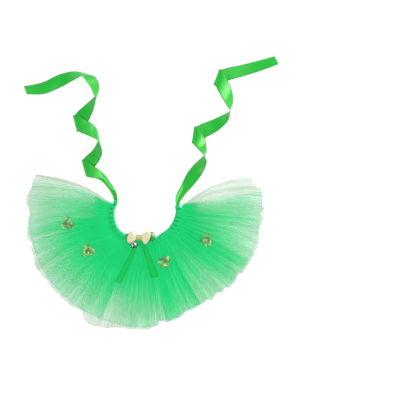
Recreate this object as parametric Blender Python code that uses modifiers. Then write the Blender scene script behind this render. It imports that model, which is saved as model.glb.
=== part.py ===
"""A small pet's tutu costume, laid flat on a table with its front edge towards -Y.

Three gathered fans of tulle hang from a horseshoe neck casing. A satin ribbon runs
through the casing and comes out at both ends as the ties that close at the nape.
At the front sit a green bow with two tails, a cream bow over it and a jingle bell,
and four clovers are stuck on the top tulle. The origin is the middle of the casing's
flat underside, at its lowest point in the plan, so the table is the plane z = 0.
"""

import math
from typing import NamedTuple

import bmesh
import bpy
import numpy as np
from mathutils import Euler, Matrix, Vector

MM = 0.001

# Neck casing, a flattened tube bent round the neck.
NECK_RADIUS = 64.0 * MM
CASING_START_DEG = 163.0
CASING_END_DEG = 371.5
CASING_PUCKERS = 40
CASING_STATIONS_PER_PUCKER = 3
CASING_TOP = 8.0 * MM

# Cloth and the gap that is left at every seam.
CLOTH = 1.0 * MM
SEAM_GAP = 0.3 * MM
SKIRT_NECK_RADIUS = 70.65 * MM
TABLE_CLEARANCE = 0.02 * MM
RIBBON_STEP = 6.0 * MM
FOLD_BACK = 2.6 * MM

# Bow. A loop's path and a tail's cut are shares of their own length and width.
BOW_LOOP_STEP = 0.28
BOW_LOOP_POINTS_ACROSS = 5
BOW_LOOP_EDGE_EASE = 0.22
BOW_TAIL_ROWS = 12
BOW_TAIL_CUT_POWER = 6
BOW_TAIL_LIFT = SEAM_GAP + 0.55 * CLOTH
KNOT_CENTRE = Vector((-12.7, 12.7, 14.4)) * MM
KNOT_HALF = Vector((4.7, 5.5, 6.0)) * MM
KNOT_SEGMENTS = 14
KNOT_RINGS = 9
KNOT_SQUARENESS = 0.75

# Jingle bell. Its slots face forward and up, and its loop is behind.
BELL_RADIUS = 7.0 * MM
BELL_CENTRE = Vector((-21.5, -1.2, 17.0)) * MM
BELL_FACING = Vector((0.0, -0.64, 0.768)).normalized()
BELL_RINGS = 12
BELL_STEPS = 20
BELL_SEAM_RISE = 0.35 * MM
BELL_SEAM_HALF = 0.5 * MM
BELL_SLOT_WIDTH = 1.3 * MM
BELL_SLOT_DEPTH = 0.9 * MM
BELL_SLOT_LENGTH = 1.5 * BELL_RADIUS
BELL_SLOT_TURNS_DEG = (4.5, 94.5)
BELL_LOOP_RADIUS = 1.3 * MM
BELL_LOOP_WIRE = 0.4 * MM
BELL_LOOP_SEGMENTS = 14
BELL_WIRE_SEGMENTS = 6

# Clover leaves, as shares of the reach.
CLOVER_REACH = 13.6 * MM
CLOVER_THICKNESS = 1.0 * MM
CLOVER_LIFT = 0.5 * MM
CLOVER_LEAVES_DEG = (60.0, 180.0, 300.0)
CLOVER_LEAF_HALF_DEG = 52.0
CLOVER_LEAF_POINTS = 13
CLOVER_LEAF_ROOT = 0.34
CLOVER_LEAF_GROWTH = 0.62
CLOVER_LEAF_ROUNDNESS = 0.55
CLOVER_NOTCH_DEPTH = 0.20
CLOVER_NOTCH_WIDTH_DEG = 10.0

GREEN_TULLE = (0.03, 0.66, 0.20, 1.0)
PALE_TULLE = (0.72, 0.86, 0.70, 1.0)
GREEN_SATIN = (0.036, 0.56, 0.065, 1.0)
GREEN_ORGANZA = (0.02, 0.50, 0.10, 1.0)
CREAM_SATIN = (0.87, 0.79, 0.54, 1.0)
BRIGHT_NICKEL = (0.80, 0.80, 0.78, 1.0)
GOLD_GLITTER = (0.42, 0.38, 0.10, 1.0)


class HemPoint(NamedTuple):
    """The hems' distance from the neck's centre at one angle round the fan."""

    angle_deg: float
    under_mm: float
    middle_mm: float
    over_mm: float


HEMS = (
    HemPoint(158.0, 214, 206, 198),
    HemPoint(163.0, 218, 210, 201),
    HemPoint(170.0, 227, 214, 204),
    HemPoint(182.0, 226, 215, 206),
    HemPoint(196.0, 228, 217, 209),
    HemPoint(210.0, 233, 222, 213),
    HemPoint(226.0, 231, 221, 212),
    HemPoint(239.0, 227, 219, 209),
    HemPoint(241.5, 241, 216, 206),
    HemPoint(247.0, 240, 214, 203),
    HemPoint(254.0, 232, 212, 201),
    HemPoint(267.0, 225, 215, 206),
    HemPoint(275.0, 222, 214, 206),
    HemPoint(277.5, 209, 205, 200),
    HemPoint(281.0, 215, 208, 202),
    HemPoint(290.0, 213, 206, 200),
    HemPoint(297.0, 206, 200, 194),
    HemPoint(304.0, 207, 198, 190),
    HemPoint(308.0, 211, 201, 191),
    HemPoint(317.0, 215, 203, 194),
    HemPoint(327.0, 219, 207, 197),
    HemPoint(334.0, 216, 207, 198),
    HemPoint(343.0, 222, 210, 200),
    HemPoint(347.0, 215, 206, 197),
    HemPoint(355.0, 217, 208, 198),
    HemPoint(358.5, 227, 213, 200),
    HemPoint(365.0, 221, 215, 204),
    HemPoint(371.0, 220, 214, 204),
    HemPoint(377.0, 211, 204, 196),
    HemPoint(381.0, 206, 200, 192),
)


class FanEnd(NamedTuple):
    """The angles of the fan's two free edges at one distance from the neck's centre."""

    radius_mm: float
    left_deg: float
    right_deg: float


FAN_ENDS = (
    FanEnd(63, 171.0, 366.0),
    FanEnd(80, 163.5, 370.0),
    FanEnd(96, 160.0, 376.0),
    FanEnd(130, 158.0, 380.0),
    FanEnd(170, 159.7, 379.8),
    FanEnd(218, 162.0, 376.5),
)


class LayerHeight(NamedTuple):
    """How high each layer's valleys lie over the table at one distance from the centre."""

    radius_mm: float
    under_mm: float
    middle_mm: float
    over_mm: float


HEIGHTS = (
    LayerHeight(70, 0, 2.4, 4.8),
    LayerHeight(100, 0, 6.5, 12.5),
    LayerHeight(140, 0, 10.5, 19.0),
    LayerHeight(180, 0, 11.5, 21.5),
    LayerHeight(215, 0, 9.0, 18.5),
    LayerHeight(245, 0, 9.0, 18.0),
)


class Layer(NamedTuple):
    """One gathered fan of tulle. Its column picks the layer in HEMS and HEIGHTS."""

    name: str
    column: int
    pleats: int
    hem_lift_mm: float
    left_inset_deg: float
    right_inset_deg: float
    phase: float


LAYERS = (
    Layer("tulle_underskirt", 1, 32, 5.0, 0.0, 0.0, 0.4),
    Layer("tulle_middle_skirt", 2, 36, 6.0, 1.2, 3.5, 1.7),
    Layer("tulle_overskirt", 3, 48, 6.5, 2.6, 6.5, 2.9),
)
UNDER, MIDDLE, OVER = LAYERS

NECK_LIFT_MM = 0.8
LIFT_START_MM = 70.0
LIFT_END_MM = 230.0
PLEAT_SHARES = (0.20, 0.30, 0.20, 0.30)
PLEAT_LIFTS = (0.0, 1.0, 1.0, 0.0)
PLEAT_UNEVENNESS = 0.22
PLEAT_WIDTH_TURN = 2.4
LOWEST_CREST = 0.72
CREST_TURN = 1.7
HEM_RIPPLE = 1.3 * MM
HEM_RIPPLE_TURN = 5.3
RADIAL_SHARES = (0.0, 0.17, 0.42, 0.70, 1.0)


class RibbonRow(NamedTuple):
    """One section of a tie: its two edges, how far its middle sags, and a fold's height.

    A row with a fold is a crease, where the ribbon turns over and comes back on itself.
    """

    ax_mm: float
    ay_mm: float
    az_mm: float
    bx_mm: float
    by_mm: float
    bz_mm: float
    sag_mm: float = 0.0
    fold_mm: float = 0.0


LEFT_TIE = (
    RibbonRow(-232, 299, 0.6, -225, 283, 11),
    RibbonRow(-198, 306, 0.6, -194, 284, 7),
    RibbonRow(-162, 325, 0.6, -156, 300, 0.6),
    RibbonRow(-127, 326, 19, -129, 313, 0.6),
    RibbonRow(-109, 322, 22, -119, 316, 0.6),
    RibbonRow(-92, 308, 18, -110, 305, 0.6),
    RibbonRow(-91, 290, 22, -103, 291, 0.6),
    RibbonRow(-94.5, 281, 24.5, -98.5, 282.5, 0.6),
    RibbonRow(-103, 276, 23, -94, 273.5, 0.6),
    RibbonRow(-115, 264, 19, -98, 256, 0.6),
    RibbonRow(-127, 254.5, 4, -103.5, 244.5, 0.6),
    RibbonRow(-139.5, 244.5, 0.7, -132, 212.5, 0.7, fold_mm=5.2),
    RibbonRow(-109, 233, 3.4, -110, 207, 2.6),
    RibbonRow(-94.5, 219, 13, -97.5, 200, 0.6),
    RibbonRow(-91, 202, 24, -93, 195, 0.6),
    RibbonRow(-94, 193, 24, -87.5, 192, 0.6),
    RibbonRow(-103, 180, 16, -84, 175, 0.6),
    RibbonRow(-113, 171, 4, -88.5, 160.5, 0.6),
    RibbonRow(-123.5, 161.5, 0.7, -115, 129.5, 0.7, fold_mm=5.2),
    RibbonRow(-95, 146.5, 4.2, -103.5, 126.5, 3.4),
    RibbonRow(-81.5, 135, 14, -88.5, 123.5, 0.8, sag_mm=4.5),
    RibbonRow(-68.5, 116.5, 12, -73.5, 108, 0.8, sag_mm=4.5),
    RibbonRow(-58.5, 98, 10.5, -65.5, 93.5, 0.8, sag_mm=4.0),
    RibbonRow(-55.4, 81.4, 7.6, -62.0, 83.4, 1.4, sag_mm=2.6),
)

RIGHT_TIE = (
    RibbonRow(243.5, 357, 0.6, 252, 339, 10),
    RibbonRow(202, 345.5, 0.6, 207, 325.5, 7),
    RibbonRow(161.5, 336.5, 0.6, 167, 313.5, 1.5),
    RibbonRow(138, 331.5, 0.7, 128, 302, 0.7, fold_mm=5.2),
    RibbonRow(154.5, 310, 3.4, 138, 288, 2.8),
    RibbonRow(164, 287, 12, 149, 270, 0.6),
    RibbonRow(164.5, 267.5, 20, 155, 256.5, 0.6),
    RibbonRow(159, 251, 24, 157.5, 248, 0.6),
    RibbonRow(149, 247, 21, 157.5, 240, 0.6),
    RibbonRow(133.5, 238.5, 13, 146, 223, 0.6),
    RibbonRow(114, 231, 1.5, 126.5, 208.5, 0.6),
    RibbonRow(92, 223, 0.7, 86.5, 190, 0.7, fold_mm=5.2),
    RibbonRow(111.5, 202, 3.4, 96.5, 181.5, 2.8),
    RibbonRow(115, 186.5, 18, 104.5, 173.5, 0.6),
    RibbonRow(111.5, 169.5, 24.5, 111, 166, 0.6),
    RibbonRow(102.5, 162, 22, 113.5, 158, 0.6),
    RibbonRow(87.5, 147.5, 8, 111, 139, 0.6),
    RibbonRow(74.5, 129, 0.6, 96.5, 115.5, 0.6),
    RibbonRow(62.5, 106, 0.8, 81.5, 101, 10, sag_mm=2.5),
    RibbonRow(57, 88, 0.9, 71.5, 88.5, 10, sag_mm=4.0),
    RibbonRow(56.8, 76.4, 1.4, 65.0, 78.2, 8.0, sag_mm=2.6),
)


class BowLoop(NamedTuple):
    """A puffed ribbon loop that leaves the knot towards one side."""

    name: str
    heading_deg: float
    start_x_mm: float
    start_y_mm: float
    mid_height_mm: float
    length_mm: float
    upper_half_mm: float
    lower_half_mm: float
    knot_half_mm: float
    slant: float
    puff_mm: float
    colour: tuple


BOW_LOOPS = (
    BowLoop("green_bow_loop_left", 188.5, -17.8, 12.4, 11.3, 24.2, 9.0, 8.4, 3.2, 0.04, 2.6, GREEN_SATIN),
    BowLoop("green_bow_loop_right", 3.0, -7.6, 12.4, 11.3, 25.2, 8.8, 8.0, 3.4, 0.10, 2.6, GREEN_SATIN),
    BowLoop("cream_bow_loop_left", 180.5, -17.8, 13.0, 17.4, 18.0, 10.8, 9.2, 4.0, -0.16, 2.7, CREAM_SATIN),
    BowLoop("cream_bow_loop_right", 4.0, -7.6, 12.6, 17.4, 14.4, 10.6, 12.4, 4.0, 0.24, 2.7, CREAM_SATIN),
)


class LoopPoint(NamedTuple):
    """A point of a bow loop seen from the side, as shares of its length and puff."""

    reach: float
    rise: float


LOOP_SIDE = (
    LoopPoint(0.0, -0.42),
    LoopPoint(0.40, -0.86),
    LoopPoint(0.82, -0.88),
    LoopPoint(1.0, 0.0),
    LoopPoint(0.82, 0.88),
    LoopPoint(0.40, 0.86),
    LoopPoint(0.0, 0.42),
)


class BowTail(NamedTuple):
    """A hanging end of the green bow, from the knot to its cut end."""

    name: str
    start_x_mm: float
    start_y_mm: float
    bend_x_mm: float
    bend_y_mm: float
    end_x_mm: float
    end_y_mm: float
    start_width_mm: float
    end_width_mm: float
    cut_slant_mm: float


BOW_TAILS = (
    BowTail("green_bow_tail_left", -16.0, 5.2, -31.0, -29.0, -52.0, -72.0, 7.0, 14.0, -4.0),
    BowTail("green_bow_tail_right", -7.6, 5.2, 3.0, -26.0, 14.5, -59.5, 7.0, 15.0, 3.0),
)


class Clover(NamedTuple):
    """A glitter clover on the top tulle and the way its stem points."""

    name: str
    x_mm: float
    y_mm: float
    stem_deg: float


CLOVERS = (
    Clover("clover_far_left", -145.6, 39.0, 275.0),
    Clover("clover_near_left", -107.2, -12.2, 165.0),
    Clover("clover_near_right", 36.2, -33.0, 225.0),
    Clover("clover_far_right", 115.5, 8.0, 262.0),
)


def clear_scene():
    """Removes whatever the scene holds."""
    for item in list(bpy.data.objects):
        bpy.data.objects.remove(item, do_unlink=True)


def make_collection(name):
    """A collection of the scene with this name."""
    collection = bpy.data.collections.new(name)
    bpy.context.scene.collection.children.link(collection)
    return collection


def make_material(name, colour, roughness, metallic=0.0):
    """A Principled material of one colour."""
    material = bpy.data.materials.new(name)
    material.use_nodes = True
    shader = material.node_tree.nodes["Principled BSDF"]
    shader.inputs["Base Color"].default_value = colour
    shader.inputs["Roughness"].default_value = roughness
    shader.inputs["Metallic"].default_value = metallic
    return material


def add_part(bm, name, material, collection):
    """Turns a bmesh into the named part of the model."""
    mesh = bpy.data.meshes.new(name)
    bm.to_mesh(mesh)
    bm.free()
    mesh.materials.append(material)
    part = bpy.data.objects.new(name, mesh)
    collection.objects.link(part)
    return part


def grid_of(columns, rows):
    """A flat grid as a bmesh, with the column and row number of each of its points."""
    bm = bmesh.new()
    bmesh.ops.create_grid(bm, x_segments=columns, y_segments=rows, size=0.5)
    bm.verts.ensure_lookup_table()
    flat = np.array([vertex.co[:] for vertex in bm.verts])
    column = np.rint((flat[:, 0] + 0.5) * columns).astype(int)
    row = np.rint((flat[:, 1] + 0.5) * rows).astype(int)
    return bm, column, row


def place_points(bm, points):
    """Moves every point of a bmesh to its worked out place."""
    for vertex, point in zip(bm.verts, points):
        vertex.co = point


def face_outwards(bm):
    """Turns a closed bmesh's faces outwards."""
    if bm.calc_volume(signed=True) < 0.0:
        bmesh.ops.reverse_faces(bm, faces=bm.faces)


def give_thickness(part, side):
    """Makes a wall of a surface: side 1 grows it upwards and 0 both ways."""
    solidify = part.modifiers.new("cloth wall", "SOLIDIFY")
    solidify.thickness = CLOTH
    solidify.offset = side
    solidify.use_even_offset = True
    solidify.use_quality_normals = True


def from_neck(angle_deg, radius):
    """Plan position at an angle and a distance from the neck's centre."""
    angle = np.radians(angle_deg)
    return radius * np.cos(angle), NECK_RADIUS + radius * np.sin(angle)


def table_column(table, column):
    """One named column of a table as an array."""
    return np.array([row[column] for row in table], float)


def read_curve(table, column, at):
    """A table's column read at these values of its first column."""
    return np.interp(at, table_column(table, 0), table_column(table, column))


def pleat_lift_mm(layer, radius_mm):
    """How far a layer's crests stand over its valleys."""
    share = (radius_mm - LIFT_START_MM) / (LIFT_END_MM - LIFT_START_MM)
    return NECK_LIFT_MM + (layer.hem_lift_mm - NECK_LIFT_MM) * np.clip(share, 0.0, 1.2)


def crest_height(radius):
    """The highest the top tulle reaches at a distance from the neck's centre."""
    radius_mm = radius / MM
    valley = read_curve(HEIGHTS, OVER.column, radius_mm)
    return np.maximum((valley + pleat_lift_mm(OVER, radius_mm)) * MM + CLOTH, CASING_TOP)


def pleat_columns(layer):
    """Where a layer's columns stand from 0 to 1, and how far each is lifted."""
    pleat = np.arange(layer.pleats)
    width = 1.0 + PLEAT_UNEVENNESS * np.sin(PLEAT_WIDTH_TURN * pleat + layer.phase)
    swing = 0.5 + 0.5 * np.sin(CREST_TURN * pleat + 2.0 * layer.phase)
    crest = 1.0 - (1.0 - LOWEST_CREST) * swing
    steps = (width[:, None] * np.array(PLEAT_SHARES)[None, :]).ravel()
    stand = np.concatenate([[0.0], np.cumsum(steps)])
    lift = (crest[:, None] * np.array(PLEAT_LIFTS)[None, :]).ravel()
    return stand / stand[-1], np.append(lift, 0.0)


def build_skirt_layer(layer, material, collection):
    """One fan of tulle: a grid whose columns run from the neck to the hem as pleats."""
    columns = len(PLEAT_SHARES) * layer.pleats
    bm, column, row = grid_of(columns, len(RADIAL_SHARES) - 1)
    stand, lift = pleat_columns(layer)
    around = 1.0 - stand[column]
    out = np.array(RADIAL_SHARES)[row]
    hem_radius_mm = FAN_ENDS[-1].radius_mm

    def angle_at(radius_mm):
        left = read_curve(FAN_ENDS, 1, radius_mm) + layer.left_inset_deg * out
        right = read_curve(FAN_ENDS, 2, radius_mm) - layer.right_inset_deg * out
        return left + (right - left) * around

    hem = read_curve(HEMS, layer.column, angle_at(hem_radius_mm)) * MM
    hem = hem + HEM_RIPPLE * np.sin(HEM_RIPPLE_TURN * column + layer.phase)
    radius = SKIRT_NECK_RADIUS + (hem - SKIRT_NECK_RADIUS) * out
    x, y = from_neck(angle_at(radius / MM), radius)
    height = read_curve(HEIGHTS, layer.column, radius / MM)
    z = (height + pleat_lift_mm(layer, radius / MM) * lift[column]) * MM
    place_points(bm, np.stack([x, y, z], axis=1))
    part = add_part(bm, layer.name, material, collection)
    give_thickness(part, 1.0)
    return part


class CasingPoint(NamedTuple):
    """A corner of the casing's section on a crest and in a pucker."""

    out_mm: float
    height_mm: float
    pucker_out_mm: float
    pucker_height_mm: float


CASING_SECTION = (
    CasingPoint(-4.6, 0.0, -4.6, 0.0),
    CasingPoint(4.6, 0.0, 4.6, 0.0),
    CasingPoint(6.0, 1.2, 6.0, 1.2),
    CasingPoint(6.0, 6.2, 5.6, 4.9),
    CasingPoint(3.0, 7.6, 2.9, 5.8),
    CasingPoint(-2.6, 8.0, -2.6, 7.1),
    CasingPoint(-5.6, 6.0, -5.5, 5.7),
    CasingPoint(-6.2, 2.2, -6.2, 2.2),
)


def build_neck_casing(material, collection):
    """The neck casing: a capped tube bent round the neck, pinched at every pucker."""
    stations = CASING_PUCKERS * CASING_STATIONS_PER_PUCKER
    corners = len(CASING_SECTION)
    bm = bmesh.new()
    bmesh.ops.create_cone(bm, cap_ends=True, segments=corners, radius1=1.0, radius2=1.0, depth=1.0)
    long_edges = [e for e in bm.edges if abs(e.verts[0].co.z - e.verts[1].co.z) > 0.5]
    bmesh.ops.subdivide_edges(bm, edges=long_edges, cuts=stations - 1)
    flat = np.array([vertex.co[:] for vertex in bm.verts])
    turn = np.degrees(np.arctan2(flat[:, 1], flat[:, 0])) % 360.0
    corner = np.rint(turn * corners / 360.0).astype(int) % corners
    station = np.rint((flat[:, 2] + 0.5) * stations).astype(int)
    section = np.array(CASING_SECTION) * MM
    pinched = station % CASING_STATIONS_PER_PUCKER == 0
    out = np.where(pinched, section[corner, 2], section[corner, 0])
    z = np.where(pinched, section[corner, 3], section[corner, 1])
    span = CASING_END_DEG - CASING_START_DEG
    x, y = from_neck(CASING_START_DEG + span * station / stations, NECK_RADIUS + out)
    place_points(bm, np.stack([x, y, z], axis=1))
    face_outwards(bm)
    return add_part(bm, "neck_casing", material, collection)


def opened_folds(rows):
    """A tie's rows as points (edge, middle, edge), each crease turned into a soft bend."""
    sections = []
    for row in rows:
        edge_a = np.array([row.ax_mm, row.ay_mm, row.az_mm]) * MM
        edge_b = np.array([row.bx_mm, row.by_mm, row.bz_mm]) * MM
        middle = 0.5 * (edge_a + edge_b)
        middle[2] -= row.sag_mm * MM
        section = np.stack([edge_a, middle, edge_b])
        if row.fold_mm == 0.0:
            sections.append(section)
            continue
        crease = edge_b - edge_a
        inward = np.array([-crease[1], crease[0], 0.0]) / np.hypot(crease[0], crease[1])
        if np.dot(inward, sections[-1][1] - middle) < 0.0:
            inward = -inward
        rise = np.array([0.0, 0.0, row.fold_mm * MM])
        sections.append(section + inward * FOLD_BACK)
        sections.append(section + rise * 0.5)
        sections.append(section + inward * FOLD_BACK + rise)
    return np.array(sections)


def smooth_path(points, step):
    """Points about a step apart on the cubic that passes through all the rows."""
    middle = points[:, points.shape[1] // 2]
    length = np.linalg.norm(np.diff(middle, axis=0), axis=1)
    chord = np.diff(points, axis=0) / length[:, None, None]
    before, after = length[:-1, None, None], length[1:, None, None]
    inner = (chord[:-1] * after + chord[1:] * before) / (before + after)
    slope = np.concatenate([chord[:1], inner, chord[-1:]])
    pieces = []
    for index, span in enumerate(length):
        t = np.linspace(0.0, 1.0, max(2, round(span / step)) + 1)[:-1, None, None]
        pieces.append(
            points[index] * (2 * t**3 - 3 * t**2 + 1)
            + slope[index] * span * (t**3 - 2 * t**2 + t)
            + points[index + 1] * (3 * t**2 - 2 * t**3)
            + slope[index + 1] * span * (t**3 - t**2)
        )
    return np.concatenate(pieces + [points[-1:]])


def build_strip(name, sections, material, collection):
    """A wall through a row of sections, each with the same number of points across."""
    count, across = sections.shape[:2]
    bm, column, row = grid_of(count - 1, across - 1)
    place_points(bm, sections[column, row])
    part = add_part(bm, name, material, collection)
    give_thickness(part, 0.0)
    return part


def build_tie(name, rows, material, collection):
    """One tie ribbon, from its free end to the mouth of the casing."""
    sections = smooth_path(opened_folds(rows), RIBBON_STEP)
    lowest = 0.5 * CLOTH + TABLE_CLEARANCE
    sections[:, :, 2] = np.maximum(sections[:, :, 2], lowest)
    return build_strip(name, sections, material, collection)


def build_bow_loop(loop, material, collection):
    """A bow's loop: ribbon that goes out from the knot, turns over and comes back."""
    side = np.array(LOOP_SIDE)[:, None, :]
    side = smooth_path(side, BOW_LOOP_STEP)[:, 0]
    reach, rise = side[:, 0, None], side[:, 1, None]
    across = np.linspace(-1.0, 1.0, BOW_LOOP_POINTS_ACROSS)[None, :]
    widest = np.where(across > 0.0, loop.upper_half_mm, loop.lower_half_mm)
    opened = np.sin(0.5 * math.pi * np.clip(reach, 0.0, 1.0))
    half = loop.knot_half_mm + (widest - loop.knot_half_mm) * opened
    heading = math.radians(loop.heading_deg)
    mirror = 1.0 if math.cos(heading) > 0.0 else -1.0
    along = loop.length_mm * reach * (1.0 + loop.slant * across)
    aside = mirror * half * across
    x = loop.start_x_mm + along * math.cos(heading) - aside * math.sin(heading)
    y = loop.start_y_mm + along * math.sin(heading) + aside * math.cos(heading)
    z = loop.mid_height_mm + loop.puff_mm * rise * (1.0 - BOW_LOOP_EDGE_EASE * across**2)
    return build_strip(loop.name, np.stack([x, y, z], axis=2) * MM, material, collection)


def build_bow_tail(tail, material, collection):
    """A tail of the green bow, lying on the crests of the top tulle."""
    t = np.linspace(0.0, 1.0, BOW_TAIL_ROWS)[:, None]
    start = np.array([tail.start_x_mm, tail.start_y_mm])
    bend = np.array([tail.bend_x_mm, tail.bend_y_mm])
    end = np.array([tail.end_x_mm, tail.end_y_mm])
    middle = (1 - t) ** 2 * start + 2 * t * (1 - t) * bend + t**2 * end
    along = 2 * (1 - t) * (bend - start) + 2 * t * (end - bend)
    along = along / np.linalg.norm(along, axis=1, keepdims=True)
    aside = np.stack([-along[:, 1], along[:, 0]], axis=1)
    width = tail.start_width_mm + (tail.end_width_mm - tail.start_width_mm) * t
    across = np.array([-0.5, 0.0, 0.5])
    plan = middle[:, None, :] + aside[:, None, :] * width[:, None] * across[None, :, None]
    slant = tail.cut_slant_mm * t**BOW_TAIL_CUT_POWER
    plan = plan + along[:, None, :] * slant[:, None] * across[None, :, None]
    plan = plan * MM
    radius = np.hypot(plan[:, :, 0], plan[:, :, 1] - NECK_RADIUS)
    z = crest_height(radius) + BOW_TAIL_LIFT
    sections = np.concatenate([plan, z[:, :, None]], axis=2)
    return build_strip(tail.name, sections, material, collection)


def build_bow_knot(material, collection):
    """The cream bow's knot: a rounded block a little squarer than an egg."""
    bm = bmesh.new()
    bmesh.ops.create_uvsphere(bm, u_segments=KNOT_SEGMENTS, v_segments=KNOT_RINGS, radius=1.0)
    for vertex in bm.verts:
        squared = [math.copysign(abs(value) ** KNOT_SQUARENESS, value) for value in vertex.co]
        vertex.co = KNOT_CENTRE + Vector(s * h for s, h in zip(squared, KNOT_HALF))
    return add_part(bm, "cream_bow_knot", material, collection)


def build_bell(material, collection, cutters):
    """The jingle bell: a turned ball with a seam round it and crossed slots."""
    profile = []
    for index in range(BELL_RINGS + 1):
        angle = math.pi * index / BELL_RINGS
        profile.append((BELL_RADIUS * math.sin(angle), BELL_RADIUS * math.cos(angle)))
    widest = BELL_RADIUS + BELL_SEAM_RISE
    middle = BELL_RINGS // 2
    profile[middle : middle + 1] = ((widest, BELL_SEAM_HALF), (widest, -BELL_SEAM_HALF))
    mesh = bpy.data.meshes.new("jingle_bell")
    points = [(max(x, 0.0), 0.0, z) for x, z in profile]
    mesh.from_pydata(points, [(i, i + 1) for i in range(len(points) - 1)], [])
    mesh.materials.append(material)
    bell = bpy.data.objects.new("jingle_bell", mesh)
    collection.objects.link(bell)
    bell.location = BELL_CENTRE
    bell.rotation_euler = BELL_FACING.to_track_quat("Z", "Y").to_euler()
    screw = bell.modifiers.new("turn", "SCREW")
    screw.axis = "Z"
    screw.steps = screw.render_steps = BELL_STEPS
    screw.use_merge_vertices = True
    screw.merge_threshold = 0.00001
    for turn_deg in BELL_SLOT_TURNS_DEG:
        cutter_mesh = bpy.data.meshes.new("bell slot")
        bm = bmesh.new()
        bmesh.ops.create_cube(bm, size=1.0)
        size = Vector((BELL_SLOT_WIDTH, BELL_SLOT_LENGTH, 2.0 * BELL_SLOT_DEPTH))
        bmesh.ops.scale(bm, vec=size, verts=bm.verts)
        turn = Matrix.Rotation(math.radians(turn_deg), 4, "Z")
        bmesh.ops.transform(bm, matrix=turn @ Matrix.Translation((0, 0, BELL_RADIUS)), verts=bm.verts)
        bm.to_mesh(cutter_mesh)
        bm.free()
        cutter = bpy.data.objects.new("bell slot", cutter_mesh)
        cutters.objects.link(cutter)
        cutter.hide_render = True
        cutter.display_type = "WIRE"
        cutter.location = bell.location
        cutter.rotation_euler = bell.rotation_euler
        cut = bell.modifiers.new("slot", "BOOLEAN")
        cut.operation = "DIFFERENCE"
        cut.solver = "EXACT"
        cut.object = cutter
    return bell


def build_bell_loop(material, collection):
    """The bell's wire loop, standing between the bell and the casing."""
    reach = BELL_RADIUS + SEAM_GAP + BELL_LOOP_RADIUS + BELL_LOOP_WIRE
    centre = BELL_CENTRE - BELL_FACING * reach
    bpy.ops.mesh.primitive_torus_add(
        major_radius=BELL_LOOP_RADIUS,
        minor_radius=BELL_LOOP_WIRE,
        major_segments=BELL_LOOP_SEGMENTS,
        minor_segments=BELL_WIRE_SEGMENTS,
        location=centre,
        rotation=Euler((0.0, math.radians(90.0), 0.0)),
    )
    loop = bpy.context.object
    loop.name = loop.data.name = "bell_loop"
    loop.data.materials.append(material)
    for owner in list(loop.users_collection):
        owner.objects.unlink(loop)
    collection.objects.link(loop)
    return loop


class StemPoint(NamedTuple):
    """A corner of a clover's stem: its angle from the stem's middle and its reach."""

    angle_deg: float
    reach: float


CLOVER_STEM = (
    StemPoint(-6.0, 0.26),
    StemPoint(-5.0, 0.95),
    StemPoint(5.0, 0.95),
    StemPoint(6.0, 0.26),
)


def clover_outline():
    """Angle from the stem and share of the reach for each point round a clover."""
    lobe = np.linspace(-CLOVER_LEAF_HALF_DEG, CLOVER_LEAF_HALF_DEG, CLOVER_LEAF_POINTS)
    notch = CLOVER_NOTCH_DEPTH * np.exp(-((lobe / CLOVER_NOTCH_WIDTH_DEG) ** 2))
    swell = np.cos(np.radians(1.5 * lobe)) ** CLOVER_LEAF_ROUNDNESS
    leaf = CLOVER_LEAF_ROOT + CLOVER_LEAF_GROWTH * swell - notch
    angles = [corner.angle_deg for corner in CLOVER_STEM]
    reaches = [corner.reach for corner in CLOVER_STEM]
    for centre in CLOVER_LEAVES_DEG:
        angles.extend(centre + lobe)
        reaches.extend(leaf)
    return np.array(angles), np.array(reaches)


def build_clover(clover, material, collection):
    """A flat three-leaved clover that touches the tulle's crests at its middle."""
    angles, reaches = clover_outline()
    bm = bmesh.new()
    bmesh.ops.create_circle(bm, cap_ends=True, segments=len(angles), radius=1.0)
    turned = np.radians(angles + clover.stem_deg)
    centre = np.array([clover.x_mm, clover.y_mm]) * MM
    x = centre[0] + CLOVER_REACH * reaches * np.cos(turned)
    y = centre[1] + CLOVER_REACH * reaches * np.sin(turned)
    out = np.hypot(centre[0], centre[1] - NECK_RADIUS)
    away = (centre - np.array([0.0, NECK_RADIUS])) / out
    reach = CLOVER_REACH
    slope = (crest_height(out + reach) - crest_height(out - reach)) / (2.0 * reach)
    level = max(crest_height(out), 0.5 * (crest_height(out + reach) + crest_height(out - reach)))
    z = level + CLOVER_LIFT + slope * ((x - centre[0]) * away[0] + (y - centre[1]) * away[1])
    place_points(bm, np.stack([x, y, z], axis=1))
    bmesh.ops.recalc_face_normals(bm, faces=bm.faces)
    if next(iter(bm.faces)).normal.z < 0.0:
        bmesh.ops.reverse_faces(bm, faces=bm.faces)
    part = add_part(bm, clover.name, material, collection)
    give_thickness(part, 1.0)
    part.modifiers["cloth wall"].thickness = CLOVER_THICKNESS
    return part


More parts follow.
